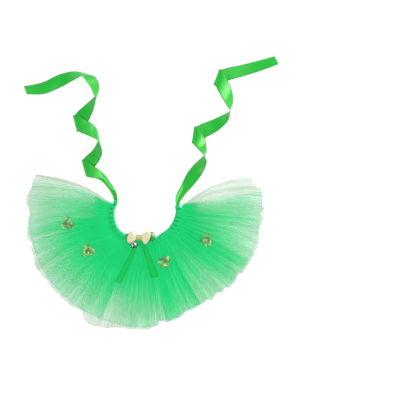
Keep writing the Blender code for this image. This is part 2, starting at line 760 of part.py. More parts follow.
def main():
    """Builds every piece of the costume."""
    clear_scene()
    costume = make_collection("pet_tutu_costume")
    cutters = make_collection("cutters")
    tulle = make_material("green tulle", GREEN_TULLE, 0.85)
    pale = make_material("pale tulle", PALE_TULLE, 0.85)
    satin = make_material("green satin", GREEN_SATIN, 0.35)
    organza = make_material("green organza", GREEN_ORGANZA, 0.6)
    cream = make_material("cream satin", CREAM_SATIN, 0.4)
    nickel = make_material("bright nickel", BRIGHT_NICKEL, 0.15, 1.0)
    glitter = make_material("gold glitter", GOLD_GLITTER, 0.4, 0.6)
    satins = {GREEN_SATIN: satin, CREAM_SATIN: cream}

    for layer in LAYERS:
        build_skirt_layer(layer, pale if layer is UNDER else tulle, costume)
    build_neck_casing(tulle, costume)
    build_tie("tie_ribbon_left", LEFT_TIE, satin, costume)
    build_tie("tie_ribbon_right", RIGHT_TIE, satin, costume)
    for loop in BOW_LOOPS:
        build_bow_loop(loop, satins[loop.colour], costume)
    for tail in BOW_TAILS:
        build_bow_tail(tail, organza, costume)
    build_bow_knot(cream, costume)
    build_bell(nickel, costume, cutters)
    build_bell_loop(nickel, costume)
    for clover in CLOVERS:
        build_clover(clover, glitter, costume)


main()
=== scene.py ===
"""The looks of a small pet's tutu costume, dressed over its construction model.

Three gathered fans of net, a puckered neck casing, two satin ties, a green bow with sheer
tails, a cream bow, a jingle bell and four glitter clovers. Lengths are in metres unless a
name ends in _mm, +Z is up, the table is z = 0 and the front edge of the skirt faces -Y.
"""

import logging
import math
from dataclasses import dataclass
from enum import Enum
from typing import NamedTuple, Sequence

import bpy
import numpy as np
from bpy.types import ID, Material, Node, NodeSocket, Object
from mathutils import Matrix, Vector


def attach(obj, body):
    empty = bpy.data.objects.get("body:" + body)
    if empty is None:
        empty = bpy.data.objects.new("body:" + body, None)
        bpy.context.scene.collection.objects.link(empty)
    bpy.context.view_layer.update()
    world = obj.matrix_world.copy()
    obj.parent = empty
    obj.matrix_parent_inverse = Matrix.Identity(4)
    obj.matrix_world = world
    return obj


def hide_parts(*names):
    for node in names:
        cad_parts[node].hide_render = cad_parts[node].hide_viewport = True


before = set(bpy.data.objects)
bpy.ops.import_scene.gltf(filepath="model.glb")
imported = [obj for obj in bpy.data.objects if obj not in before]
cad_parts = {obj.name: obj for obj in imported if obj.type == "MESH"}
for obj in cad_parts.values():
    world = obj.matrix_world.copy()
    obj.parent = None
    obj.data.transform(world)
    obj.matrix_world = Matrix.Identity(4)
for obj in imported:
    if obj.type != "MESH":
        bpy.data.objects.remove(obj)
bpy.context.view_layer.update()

MM = 0.001
LOG = logging.getLogger("tutu")

NECK_RADIUS = 64.0 * MM
SKIRT_NECK_RADIUS = 69.5 * MM
CASING_TOP = 8.0 * MM
CLOTH_WALL = 1.0 * MM
RIBBON_WALL = 0.35 * MM

Array = np.ndarray
Colour = tuple[float, float, float, float]


class Slot(Enum):
    """The record's material slots."""

    PALE_TULLE = "pale_tulle"
    GREEN_TULLE = "green_tulle"
    CASING_TULLE = "casing_tulle"
    GREEN_SATIN = "green_satin"
    GREEN_ORGANZA = "green_organza"
    CREAM_SATIN = "cream_satin"
    BRIGHT_NICKEL = "bright_nickel"
    GOLD_GLITTER = "gold_glitter"


class Layer(Enum):
    """A fan of tulle, by its column in the tables of hems and heights."""

    UNDER = 1
    MIDDLE = 2
    OVER = 3


def rows_of(kind: type, *rows: tuple[float, ...]) -> tuple:
    """A table: each row of numbers as its own named kind."""
    return tuple(kind(*row) for row in rows)


class LayerRow(NamedTuple):
    """A number for each fan, at an angle or at a distance from the neck's centre."""

    at: float
    under: float
    middle: float
    over: float


# The hems' distances from the neck's centre in mm, by the angle round the fan.
HEMS = rows_of(
    LayerRow,
    (158, 214, 206, 198), (163, 220, 210, 201), (168, 222, 212, 203), (172, 225, 214, 205),
    (175.5, 228, 216, 206), (179, 223, 214, 205), (182.3, 221, 213, 204), (187, 226, 215, 206),
    (192.5, 230, 218, 208), (194.7, 227, 216, 207), (196.2, 224, 214, 206), (198.3, 229, 217, 209),
    (203, 231, 219, 210), (206, 235, 222, 213), (211, 233, 222, 213), (217, 229, 220, 211),
    (221.6, 232, 221, 212), (227.7, 229, 219, 210), (232, 231, 220, 210), (238, 226, 218, 208),
    (240.6, 238, 216, 206), (243, 242, 215, 205), (248, 239, 214, 203), (253.5, 233, 212, 202),
    (259.5, 226, 212, 203), (261.5, 228, 214, 205), (270, 226, 215, 206), (275.7, 222, 213, 205),
    (277, 212, 206, 201), (282.6, 216, 208, 202), (288, 213, 206, 200), (291.5, 206, 202, 197),
    (295, 208, 201, 195), (301, 208, 200, 193), (304, 205, 197, 190), (306.2, 213, 202, 192),
    (310.8, 207, 199, 191), (313, 212, 202, 193), (315.6, 211, 202, 193), (316.8, 217, 205, 195),
    (321.5, 217, 205, 196), (325.3, 212, 203, 195), (327, 219, 207, 197), (334, 220, 208, 198),
    (341, 223, 211, 201), (343.6, 221, 210, 200), (349.3, 219, 209, 200), (353.9, 220, 209, 199),
    (356.1, 224, 211, 200), (358.5, 219, 209, 199), (360.1, 225, 213, 201), (362.6, 222, 213, 203),
    (365.8, 223, 214, 204), (370.6, 223, 214, 204), (372.4, 210, 206, 200), (377, 211, 204, 196),
    (381, 206, 200, 192),
)


class FanEnd(NamedTuple):
    """The angles of the fan's two free edges at one distance from the neck's centre."""

    radius_mm: float
    left_deg: float
    right_deg: float


FAN_ENDS = rows_of(
    FanEnd,
    (64, 169.0, 365.0), (70, 167.9, 367.2), (80, 165.6, 371.2), (96, 161.6, 376.2),
    (116, 159.6, 379.0), (135, 158.8, 380.0), (170, 159.7, 379.5), (218, 162.0, 376.5),
)


class NeckShift(NamedTuple):
    """How far the neck's edge lies outside its circle at one angle."""

    angle_deg: float
    out_mm: float


NECK_SHIFTS = rows_of(
    NeckShift,
    (162, 0.0), (172, -0.4), (182, 2.0), (190, 3.3), (199, 4.2),
    (210, 5.2), (219, 4.8), (231, 2.6), (245, 0.6), (262, -0.6),
    (278, -1.4), (289, -2.6), (297, -4.0), (305, -4.8), (313, -3.9),
    (321, -2.9), (336, -2.3), (347, -1.6), (356, -1.1), (372, -1.6),
)


# How high each fan's valleys lie over the table in mm, by the distance in mm.
HEIGHTS = rows_of(
    LayerRow,
    (70, 0, 3.0, 6.5), (100, 0, 6.5, 12.5), (140, 0, 10.5, 19.0),
    (180, 0, 11.5, 21.5), (215, 0, 9.0, 18.5), (245, 0, 9.0, 18.0),
)

# How many threads' depths of net hide what is below, by the distance in mm.
COVERS = rows_of(
    LayerRow,
    (70, 2.0, 2.8, 2.8), (100, 0.95, 2.7, 2.7), (120, 0.76, 2.3, 2.3),
    (133, 0.72, 1.95, 1.95), (152, 0.76, 1.52, 1.50), (167, 0.84, 1.12, 1.06),
    (180, 0.92, 0.86, 0.78), (190, 0.95, 0.71, 0.58), (198, 0.94, 0.60, 0.45),
    (205, 0.91, 0.51, 0.34), (212, 0.88, 0.43, 0.24), (220, 0.86, 0.36, 0.18),
    (230, 0.86, 0.30, 0.12),
)


class GatherPlace(NamedTuple):
    """How closely the green gathers are pushed together at one angle, near the neck and far out."""

    angle_deg: float
    near: float
    far: float


GATHER_PLACES = rows_of(
    GatherPlace,
    (158, 0.06, 0.08), (163, 0.12, 0.15), (167.5, 0.17, 0.20), (171, 0.22, 0.26),
    (174.5, 0.31, 0.38), (179, 0.38, 0.46), (187, 0.44, 0.56), (190, 0.95, 0.90),
    (193.4, 1.00, 0.95), (194.3, 0.90, 0.36), (195.4, 1.00, 0.95), (203, 1.00, 0.82),
    (212, 1.00, 1.00), (228, 1.00, 0.92), (240, 1.00, 1.05), (247.3, 1.00, 1.00),
    (248.2, 0.95, 0.36), (254, 0.95, 0.44), (261, 0.95, 0.70), (264, 0.90, 0.86),
    (273, 1.00, 1.05), (275.4, 1.00, 0.50), (277.5, 1.00, 0.85), (279, 1.00, 0.60),
    (281.5, 1.10, 1.35), (300.3, 1.10, 1.35), (301.3, 0.62, 0.48), (314, 0.62, 0.58),
    (319, 0.85, 0.80), (325, 1.00, 1.15), (333.8, 1.00, 1.30), (336, 0.70, 0.60),
    (343, 0.55, 0.55), (343.7, 1.00, 0.95), (344.4, 0.58, 0.52), (350, 0.52, 0.44),
    (354, 0.50, 0.52), (355, 0.80, 0.82), (356, 0.42, 0.56), (358.5, 0.34, 0.50),
    (362, 0.25, 0.40), (366, 0.15, 0.34), (370, 0.08, 0.26), (375, 0.05, 0.15),
)

# The casing's mouths: where each one closes, how far the left one is drawn in, by what share
# both narrow, and half the casing's width.
LEFT_MOUTH_DEG = (167.5, 176.0)
RIGHT_MOUTH_DEG = (360.5, 368.2)
LEFT_MOUTH_SHIFT = 4.4 * MM
MOUTH_SHRINK = 0.40
CASING_HALF_MM = 6.0

# A pleat rises, stays up, falls and stays down over these shares of its width, from these
# lifts. Widths and crests differ from pleat to pleat.
PLEAT_SHARES = (0.20, 0.30, 0.20, 0.30)
PLEAT_LIFTS = (0.0, 1.0, 1.0, 0.0)
PLEAT_UNEVENNESS = 0.22
LOWEST_CREST = 0.72

# The crests stand this high over the valleys at the neck, and rise between these distances.
NECK_LIFT_MM = 0.8
LIFT_START_MM = 70.0
LIFT_END_MM = 230.0
TOP_HEM_LIFT_MM = 6.5


def smooth_between(low: float, high: float, value: Array) -> Array:
    """A soft step from 0 at low to 1 at high: 3t^2 - 2t^3 of the clipped share t."""
    t = np.clip((value - low) / (high - low), 0.0, 1.0)
    return t * t * (3.0 - 2.0 * t)


def read_curve(table: Sequence[NamedTuple], column: int, at: Array) -> Array:
    """Reads one column of a table as straight lines between its rows.

    Args:
        table: Rows whose first column rises.
        column: The column to read.
        at: Values of the first column.

    Returns:
        The column's value at each of them.
    """
    first = np.array([row[0] for row in table], float)
    wanted = np.array([row[column] for row in table], float)
    return np.interp(at, first, wanted)


def from_neck(angle_deg: Array, radius: Array) -> tuple[Array, Array]:
    """Plan position at an angle and a distance from the neck's centre: (r cos a, neck + r sin a).

    The neck is no full circle: its shift is added to the distance, less and less up to 120 mm.

    Args:
        angle_deg: Angles, anticlockwise from the wearer's left.
        radius: Distances from the neck's centre.

    Returns:
        The places' x and y.
    """
    near = 1.0 - smooth_between(70.0 * MM, 120.0 * MM, radius)
    radius = radius + read_curve(NECK_SHIFTS, 1, angle_deg) * MM * near
    angle = np.radians(angle_deg)
    return radius * np.cos(angle), NECK_RADIUS + radius * np.sin(angle)


def crest_lift_mm(hem_lift_mm: float, radius_mm: Array | float) -> Array:
    """A fan's crests over its valleys: a straight line from the neck's lift to the hem's."""
    share = (radius_mm - LIFT_START_MM) / (LIFT_END_MM - LIFT_START_MM)
    return NECK_LIFT_MM + (hem_lift_mm - NECK_LIFT_MM) * np.clip(share, 0.0, 1.2)


def top_crest(radius: Array | float) -> Array:
    """The top net's crests: valley plus lift plus the wall, never under the casing's top.

    Args:
        radius: Distances from the neck's centre.

    Returns:
        The height at each of them.
    """
    valley = read_curve(HEIGHTS, Layer.OVER.value, radius / MM)
    lift = crest_lift_mm(TOP_HEM_LIFT_MM, radius / MM)
    return np.maximum((valley + lift) * MM + CLOTH_WALL, CASING_TOP)


def soft_noise(seed: int, u: Array, v: Array, cells_u: int, cells_v: int) -> Array:
    """Random heights on a lattice, joined by soft steps.

    Args:
        seed: Which lattice.
        u: Positions across, from 0 to 1.
        v: Positions along, from 0 to 1.
        cells_u: Lattice cells across.
        cells_v: Lattice cells along.

    Returns:
        A height from -1 to 1 for each position.
    """
    heights = np.random.default_rng(seed).uniform(-1.0, 1.0, (cells_v + 2, cells_u + 2))
    x, y = np.clip(u, 0.0, 1.0) * cells_u, np.clip(v, 0.0, 1.0) * cells_v
    column, row = x.astype(int), y.astype(int)
    across, along = smooth_between(0.0, 1.0, x - column), smooth_between(0.0, 1.0, y - row)
    low = heights[row, column] * (1.0 - across) + heights[row, column + 1] * across
    high = heights[row + 1, column] * (1.0 - across) + heights[row + 1, column + 1] * across
    return low * (1.0 - along) + high * along


def fold_wave(turns: Array) -> Array:
    """A gather's section: a sine pulled towards a zigzag, 2/pi times arcsin(0.96 sin)."""
    return 2.0 / math.pi * np.arcsin(0.96 * np.sin(2.0 * math.pi * turns))


@dataclass
class Grid:
    """A surface as rows and columns of points, with its cut cloth's place as UV.

    Attributes:
        points: Rows by columns by 3, in metres.
        uv: Rows by columns by 2, in metres of flat cloth, one longer where the grid is
            closed, or None for a piece whose finish reads none.
        closed_rows: Whether the last row joins the first.
        closed_columns: Whether the last column joins the first.
    """

    points: Array
    uv: Array | None = None
    closed_rows: bool = False
    closed_columns: bool = False

    def corners(self) -> tuple[Array, Array]:
        """Numbers each face's four corners, before any closing.

        Returns:
            Their rows and their columns, faces by 4.
        """
        rows, columns = self.points.shape[:2]
        row, column = np.meshgrid(
            np.arange(rows if self.closed_rows else rows - 1),
            np.arange(columns if self.closed_columns else columns - 1), indexing="ij",
        )
        row, column = row.ravel()[:, None], column.ravel()[:, None]
        return row + np.array([[0, 0, 1, 1]]), column + np.array([[0, 1, 1, 0]])

    def faces(self) -> Array:
        """Four point numbers for each face: row times columns plus column."""
        rows, columns = self.points.shape[:2]
        row, column = self.corners()
        return (row % rows) * columns + column % columns

    def corner_uv(self) -> Array:
        """The UV of every face corner, in the order of the faces."""
        row, column = self.corners()
        return self.uv[row, column].reshape(-1, 2)


def cloth_uv(rows: Array, columns: Array) -> Array:
    """UV of a grid from each row's and each column's place on the flat cloth, in metres."""
    u, v = np.meshgrid(columns, rows)
    return np.stack([u, v], axis=2)


def ribbon_uv(along: Array, width: float, columns: int) -> Array:
    """UV of a ribbon: the distance along it, then the distance from one edge, in metres."""
    return cloth_uv(along, np.linspace(0.0, width, columns))[:, :, ::-1]


def travelled(points: Array) -> Array:
    """The distance along a line of points, from 0 at its first."""
    return np.concatenate([[0.0], np.cumsum(np.linalg.norm(np.diff(points, axis=0), axis=1))])


def full_turn(steps: int) -> Array:
    """Angles all round in radians, evenly apart, the first not repeated."""
    return np.linspace(0.0, 2.0 * math.pi, steps, endpoint=False)


def add_object(name: str, data: ID) -> Object:
    """Puts a mesh, a lamp or a camera in the scene, at the origin.

    Args:
        name: The object's name.
        data: The mesh, lamp or camera.

    Returns:
        The object.
    """
    item = bpy.data.objects.new(name, data)
    bpy.context.scene.collection.objects.link(item)
    return item


def add_piece(
    name: str, points: Array, faces: Array | list[list[int]], material: Material,
    corner_uv: Array | None = None, values: dict[str, Array] | None = None, smooth: bool = True,
) -> Object:
    """Makes a mesh object at the origin, with its place in its mesh.

    Args:
        name: The piece's name.
        points: Its points, n by 3.
        faces: Point numbers of each face, as an array or as lists of any length.
        material: Its finish.
        corner_uv: One UV for each face corner.
        values: Named numbers, one for each point, that the finish reads.
        smooth: Whether it is shaded smooth.

    Returns:
        The object, linked to the scene.
    """
    mesh = bpy.data.meshes.new(name)
    corners = faces if isinstance(faces, list) else faces.tolist()
    mesh.from_pydata(points.reshape(-1, 3).tolist(), [], corners)
    if corner_uv is not None:
        layer = mesh.uv_layers.new(name="cut")
        layer.uv.foreach_set("vector", corner_uv.astype(np.float32).ravel())
    for label, numbers in (values or {}).items():
        attribute = mesh.attributes.new(label, "FLOAT", "POINT")
        attribute.data.foreach_set("value", numbers.astype(np.float32).ravel())
    mesh.polygons.foreach_set("use_smooth", np.full(len(mesh.polygons), smooth))
    mesh.materials.append(material)
    mesh.update()
    return add_object(name, mesh)


def add_grid(
    name: str, grid: Grid, material: Material, values: dict[str, Array] | None = None
) -> Object:
    """Makes a piece of a grid that has a UV, with its named numbers."""
    return add_piece(name, grid.points, grid.faces(), material, grid.corner_uv(), values)


def give_wall(piece: Object, thickness: float) -> None:
    """Grows a surface both ways into a closed wall.

    Args:
        piece: The surface.
        thickness: The wall's thickness.
    """
    wall = piece.modifiers.new("cloth wall", "SOLIDIFY")
    wall.thickness = thickness
    wall.offset = 0.0
    wall.use_even_offset = True


def settle(piece: Object, slot: Slot, *nodes: str) -> Object:
    """Lets a piece ride on the garment and stands it in for its nodes.

    Args:
        piece: The piece.
        slot: Its material slot; not used.
        *nodes: The construction nodes that it stands in for.

    Returns:
        The piece.
    """
    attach(piece, "root")
    if nodes:
        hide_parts(*nodes)
    mesh = piece.data
    LOG.info("%s: %d points, %d faces", piece.name, len(mesh.vertices), len(mesh.polygons))
    return piece


def shaded(colour: Colour, share: float) -> Colour:
    """A colour made darker by a share."""
    return tuple(share * part for part in colour[:3]) + (1.0,)


Feed = NodeSocket | float | Colour


class Wiring:
    """Adds shader nodes to a new material and joins them."""

    def __init__(self, name: str) -> None:
        """Starts an empty material."""
        self.material = bpy.data.materials.new(name)
        self.material.use_nodes = True
        self.tree = self.material.node_tree
        self.tree.nodes.clear()

    def add(self, kind: str, inputs: dict | None = None, **settings: object) -> Node:
        """Adds a node.

        Args:
            kind: The node's type without its ShaderNode prefix.
            inputs: Values or sockets for its inputs, by name or number.
            **settings: Its own settings.

        Returns:
            The node.
        """
        node = self.tree.nodes.new("ShaderNode" + kind)
        for key, value in settings.items():
            setattr(node, key, value)
        for key, value in (inputs or {}).items():
            socket = node.inputs[key]
            if isinstance(value, NodeSocket):
                self.tree.links.new(value, socket)
            else:
                socket.default_value = value
        return node

    def maths(
        self, operation: str, first: Feed, second: Feed = 0.0, third: Feed = 0.0
    ) -> NodeSocket:
        """The result of one Math node."""
        node = self.add("Math", {0: first, 1: second, 2: third}, operation=operation)
        return node.outputs[0]

    def ranged(
        self, value: Feed, low: float, high: float, first: float = 0.0, last: float = 1.0
    ) -> NodeSocket:
        """A value clipped between low and high, told as a number from first to last."""
        inputs = {0: value, 1: low, 2: high, 3: first, 4: last}
        return self.add("MapRange", inputs, clamp=True).outputs[0]

    def blend(self, share: Feed, first: Feed, second: Feed) -> NodeSocket:
        """A colour between two, by a share."""
        return self.add("Mix", {0: share, 6: first, 7: second}, data_type="RGBA").outputs[2]

    def read(self, label: str) -> NodeSocket:
        """A piece's named number."""
        return self.add("Attribute", attribute_name=label).outputs["Fac"]

    def cut_place(self, scale_u: float, scale_v: float) -> NodeSocket:
        """The place on the flat cloth, in patterns per metre along and across."""
        uv = self.add("UVMap", uv_map="cut").outputs[0]
        return self.add("Mapping", {"Vector": uv, "Scale": (scale_u, scale_v, 1.0)}).outputs[0]

    def cloth_noise(
        self, scale_u: float, scale_v: float, detail: float = 2.0, roughness: float = 0.5
    ) -> NodeSocket:
        """Noise on the flat cloth, stretched by its patterns per metre along and across."""
        inputs = {
            "Vector": self.cut_place(scale_u, scale_v), "Scale": 1.0, "Detail": detail,
            "Roughness": roughness,
        }
        return self.add("TexNoise", inputs, noise_dimensions="2D").outputs[0]

    def net_cells(self, scale_u: float, scale_v: float, randomness: float) -> NodeSocket:
        """How far each place lies from the nearest thread of a net, 0 on the thread."""
        inputs = {
            "Vector": self.cut_place(scale_u, scale_v), "Scale": 1.0, "Randomness": randomness
        }
        settings = {"feature": "DISTANCE_TO_EDGE", "voronoi_dimensions": "2D"}
        return self.add("TexVoronoi", inputs, **settings).outputs["Distance"]

    def edge_band(self, width: float, inner: float, outer: float) -> NodeSocket:
        """How far each place lies in a ribbon's edge band.

        The distance from the ribbon's middle line, clipped between the band's two lines.

        Args:
            width: The ribbon's cut width.
            inner: Where the band starts, from the ribbon's edge.
            outer: Where it is full, from the ribbon's edge.

        Returns:
            0 up to the inner line, 1 from the outer line on.
        """
        uv = self.add("SeparateXYZ", {0: self.add("UVMap", uv_map="cut").outputs[0]})
        across = self.maths("ABSOLUTE", self.maths("SUBTRACT", uv.outputs[1], 0.5 * width))
        return self.ranged(across, 0.5 * width - inner, 0.5 * width - outer)

    def piece_place(self) -> NodeSocket:
        """The place on the piece itself, in metres."""
        return self.add("TexCoord").outputs["Object"]

    def piece_noise(self, scale: float, detail: float = 2.0) -> NodeSocket:
        """Noise fixed to the piece itself, in patterns per metre."""
        inputs = {"Vector": self.piece_place(), "Scale": scale, "Detail": detail}
        return self.add("TexNoise", inputs).outputs[0]

    def bump(self, height: NodeSocket, strength: float, distance: float = 0.1 * MM) -> NodeSocket:
        """The normals of a surface that a height raises."""
        inputs = {"Strength": strength, "Distance": distance, "Height": height}
        return self.add("Bump", inputs).outputs[0]

    def gloss(self, colour: Feed, roughness: Feed, **more: Feed) -> NodeSocket:
        """A glossy or matt surface's shader.

        Args:
            colour: Its colour.
            roughness: How far its gloss spreads.
            **more: Its other inputs, by name, with _ for each space.

        Returns:
            The shader.
        """
        inputs = {"Base Color": colour, "Roughness": roughness}
        inputs.update({key.replace("_", " "): value for key, value in more.items()})
        return self.add("BsdfPrincipled", inputs).outputs[0]

    def sheer(
        self, seen: NodeSocket, body: NodeSocket, colour: NodeSocket, through_share: float
    ) -> Material:
        """Finishes a material that is clear where its cloth is not seen.

        Args:
            seen: The cloth's opacity.
            body: The shader of its lit side.
            colour: The colour of the light that comes through the threads.
            through_share: How much of the cloth's light comes through.

        Returns:
            The material.
        """
        through = self.add("BsdfTranslucent", {"Color": colour}).outputs[0]
        cloth = self.add("MixShader", {0: through_share, 1: body, 2: through}).outputs[0]
        clear = self.add("BsdfTransparent").outputs[0]
        return self.finish(self.add("MixShader", {0: seen, 1: clear, 2: cloth}).outputs[0])

    def finish(self, shader: NodeSocket) -> Material:
        """Joins the shader to the output and gives the material."""
        self.add("OutputMaterial", {"Surface": shader})
        return self.material


@dataclass(frozen=True)
class Finish:
    """What a piece is made of.

    Attributes:
        name: The material's name.
        colour: Its commonest colour.
    """

    name: str
    colour: Colour

    def material(self) -> Material:
        """Makes the material, each kind of finish in its own way."""
        raise NotImplementedError


@dataclass(frozen=True)
class TulleFinish(Finish):
    """Hexagon net, as sheer as the depths of net that the piece's cover says.

    Attributes:
        pale: The colour where little net lies.
        edge: The colour of a cut edge.
        mesh_pitch: The net's holes, centre to centre.
        streaks: How far fine gathers change the cover.
    """

    pale: Colour
    edge: Colour
    mesh_pitch: float = 1.5 * MM
    streaks: float = 0.22

    def material(self) -> Material:
        """Opacity is one minus e to the minus cover; threads cover more, holes less."""
        w = Wiring(self.name)
        cover, edge = w.read("cover"), w.read("edge")
        holes = 1.0 / self.mesh_pitch
        net = w.net_cells(holes, holes * 1.15, 0.35)
        thread = w.ranged(net, 0.05, 0.32, 1.2, 0.9)
        gather = w.cloth_noise(260.0, 9.0, roughness=0.6)
        streak = w.maths("MULTIPLY_ADD", w.maths("SUBTRACT", gather, 0.5), 2.0 * self.streaks, 1.0)
        depth = w.maths("MULTIPLY", w.maths("MULTIPLY", cover, streak), thread)
        depth = w.maths("MULTIPLY_ADD", edge, 0.5, depth)
        seen = w.maths("SUBTRACT", 1.0, w.maths("EXPONENT", w.maths("MULTIPLY", depth, -1.0)))
        colour = w.blend(w.ranged(cover, 0.3, 1.8), self.pale, self.colour)
        colour = w.blend(w.maths("MULTIPLY", edge, 0.6), colour, self.edge)
        body = w.add("BsdfDiffuse", {"Color": colour, "Roughness": 0.4}).outputs[0]
        return w.sheer(seen, body, colour, 0.3)


@dataclass(frozen=True)
class SatinFinish(Finish):
    """Woven satin ribbon: smooth floats along its length, ribs across, a firm woven edge.

    Attributes:
        deep: The colour of painted shade, laid in random patches and along the floats.
        edge: Its edge band's colour, on the cream loops a painted yellow reflection.
        gleam: The tint of its gloss.
        width: The ribbon's cut width.
        roughness: How far its gloss spreads.
        rib_pitch: The weft ribs' distance.
    """

    deep: Colour
    edge: Colour
    gleam: Colour
    width: float
    roughness: float = 0.37
    rib_pitch: float = 0.55 * MM

    def material(self) -> Material:
        """Ribs and floats as bump, colour mottled with painted shade, and a rougher edge band at
        each edge.
        """
        w = Wiring(self.name)
        rim = w.edge_band(self.width, 2.0 * MM, 0.9 * MM)
        rib_place = w.cut_place(1.0 / self.rib_pitch, 60.0)
        ribs = w.add(
            "TexWave", {"Vector": rib_place, "Scale": 0.32, "Distortion": 0.6}, wave_type="BANDS",
            bands_direction="X",
        ).outputs["Fac"]
        floats = w.cloth_noise(90.0, 1400.0)
        soft = w.cloth_noise(38.0, 60.0, detail=3.0)
        # Painted shade: random patches and the floats lean the colour to the deep colour.
        shade = w.maths("MULTIPLY_ADD", floats, 0.35, w.maths("MULTIPLY", soft, 0.45))
        colour = w.blend(shade, self.colour, self.deep)
        # On the cream loops the edge band's colour is a painted yellow reflection.
        colour = w.blend(w.maths("MULTIPLY", rim, 0.8), colour, self.edge)
        height = w.maths("ADD", w.maths("MULTIPLY", ribs, 0.35), w.maths("MULTIPLY", floats, 0.65))
        rough = w.maths("MULTIPLY_ADD", w.maths("ADD", rim, soft), 0.14, self.roughness - 0.07)
        along = w.add("Tangent", direction_type="UV_MAP", uv_map="cut").outputs[0]
        lobes = {"IOR": 1.6, "Specular_IOR_Level": 0.9, "Specular_Tint": self.gleam}
        body = w.gloss(
            colour, rough, Normal=w.bump(height, 0.15), Tangent=along, Anisotropic=0.6, **lobes
        )
        return w.finish(body)


@dataclass(frozen=True)
class OrganzaFinish(Finish):
    """Sheer woven ribbon with a close edge.

    Attributes:
        edge: The edge band's colour.
        width: The ribbon's cut width.
        cover: The opacity away from its edges.
    """

    edge: Colour
    width: float
    cover: float = 0.62

    def material(self) -> Material:
        """Opacity rises at the woven edges and in the fine warp lines."""
        w = Wiring(self.name)
        rim = w.edge_band(self.width, 2.4 * MM, 0.6 * MM)
        warp = w.cloth_noise(24.0, 900.0)
        seen = w.maths("MULTIPLY_ADD", w.maths("SUBTRACT", warp, 0.5), 0.4, self.cover)
        seen = w.add("Clamp", {0: w.maths("MULTIPLY_ADD", rim, 0.3, seen)}).outputs[0]
        colour = w.blend(rim, self.colour, self.edge)
        return w.sheer(seen, w.gloss(colour, 0.5, Specular_IOR_Level=0.10), colour, 0.25)


@dataclass(frozen=True)
class CasingFinish(Finish):
    """Doubled net, closed by its gathers, with painted shade in each pucker.

    Attributes:
        deep: The colour of the painted shade in a pucker.
    """

    deep: Colour

    def material(self) -> Material:
        """The pucker's number paints shade into the colour; fine gathers and net make the bump."""
        w = Wiring(self.name)
        gathers = w.cloth_noise(700.0, 70.0)
        net = w.net_cells(900.0, 900.0, 0.4)
        # Painted shade: the pucker's number, with the gathers' random mottle, leans the colour to
        # deep.
        share = w.maths("MULTIPLY_ADD", w.maths("SUBTRACT", gathers, 0.45), 0.7, w.read("pucker"))
        colour = w.blend(w.add("Clamp", {0: share}).outputs[0], self.colour, self.deep)
        height = w.maths("ADD", w.maths("MULTIPLY", gathers, 0.7), w.maths("MULTIPLY", net, -0.6))
        bump = w.bump(height, 0.35, 0.3 * MM)
        return w.finish(
            w.gloss(colour, 0.7, Normal=bump, Specular_IOR_Level=0.12, Sheen_Weight=0.05)
        )


@dataclass(frozen=True)
class ThreadFinish(Finish):
    """Spun sewing thread."""

    def material(self) -> Material:
        """A slanted twist as bump over a slightly mottled colour."""
        w = Wiring(self.name)
        twist = w.add(
            "TexWave", {"Vector": w.piece_place(), "Scale": 900.0, "Distortion": 1.0},
            bands_direction="DIAGONAL",
        ).outputs["Fac"]
        colour = w.blend(twist, self.colour, shaded(self.colour, 0.6))
        return w.finish(w.gloss(colour, 0.55, Normal=w.bump(twist, 0.4)))


@dataclass(frozen=True)
class NickelFinish(Finish):
    """Bright plated metal with fine polishing marks.

    Attributes:
        roughness: How far its gloss spreads.
    """

    roughness: float = 0.08

    def material(self) -> Material:
        """Noise moves the colour and the gloss a little, and finer noise marks the surface."""
        w = Wiring(self.name)
        haze = w.piece_noise(260.0, detail=3.0)
        colour = w.blend(haze, self.colour, shaded(self.colour, 0.8))
        rough = w.maths("MULTIPLY_ADD", haze, 0.10, self.roughness)
        marks = w.bump(w.piece_noise(1400.0), 0.06, 0.05 * MM)
        return w.finish(w.gloss(colour, rough, Normal=marks, Metallic=1.0))


@dataclass(frozen=True)
class GlitterFinish(Finish):
    """Glitter flakes or the foam they are glued to, each flake its own tint.

    Attributes:
        dark: The darkest flake.
        bright: The brightest flake.
        metal: How metallic the surface is.
        roughness: How far its gloss spreads.
    """

    dark: Colour
    bright: Colour
    metal: float
    roughness: float

    def material(self) -> Material:
        """A ramp from dark through the colour to bright, read by each flake's tint."""
        w = Wiring(self.name)
        ramp = w.add("ValToRGB", {0: w.read("tint")})
        stops = ramp.color_ramp.elements
        stops[0].position, stops[0].color = 0.05, self.dark
        stops[1].position, stops[1].color = 0.95, self.bright
        stops.new(0.5).color = self.colour
        grain = w.piece_noise(2600.0)
        rough = w.maths("MULTIPLY_ADD", grain, 0.15, self.roughness)
        bump = w.bump(grain, 0.25)
        return w.finish(w.gloss(ramp.outputs[0], rough, Normal=bump, Metallic=self.metal))


@dataclass(frozen=True)
class FloorFinish(Finish):
    """A plain white table."""

    def material(self) -> Material:
        """A matt white with the faintest mottle."""
        w = Wiring(self.name)
        colour = w.blend(w.piece_noise(6.0), self.colour, shaded(self.colour, 0.99))
        return w.finish(w.add("BsdfDiffuse", {"Color": colour}).outputs[0])


@dataclass
class DressedNode:
    """A piece that stands in for one construction node.

    Attributes:
        name: The piece's name.
        node: The node's name.
    """

    name: str
    node: str


class Lattice(Enum):
    """What one of a fan's random lattices moves; its value is added to the fan's seed."""

    HEM_WAVES = 0
    HEM_THREADS = 1
    DRIFT = 2
    WANDER = 3
    BROAD_STREAKS = 4
    STREAKS = 5
    FINE_STREAKS = 6
    SLACK = 7
    LEAN = 8
    OPEN_LINES = 9
    CLOSE_LINES = 10


@dataclass(frozen=True)
class NetPlan:
    """A fan's points in plan, and the turns of its small gathers.

    Attributes:
        stand: Each column's place round the fan, from 0 at its right edge to 1.
        way: Each row's place, from 0 at the casing to 1 at the hem.
        place: Each point's place round the fan, as the gathers drift.
        radius_mm: Each point's distance from the neck's centre.
        angle_deg: Each point's angle.
        fine_turns: Each point's place in fine gathers.
        coarse_turns: Each point's place in coarse gathers.
    """

    stand: Array
    way: Array
    place: Array
    radius_mm: Array
    angle_deg: Array
    fine_turns: Array
    coarse_turns: Array


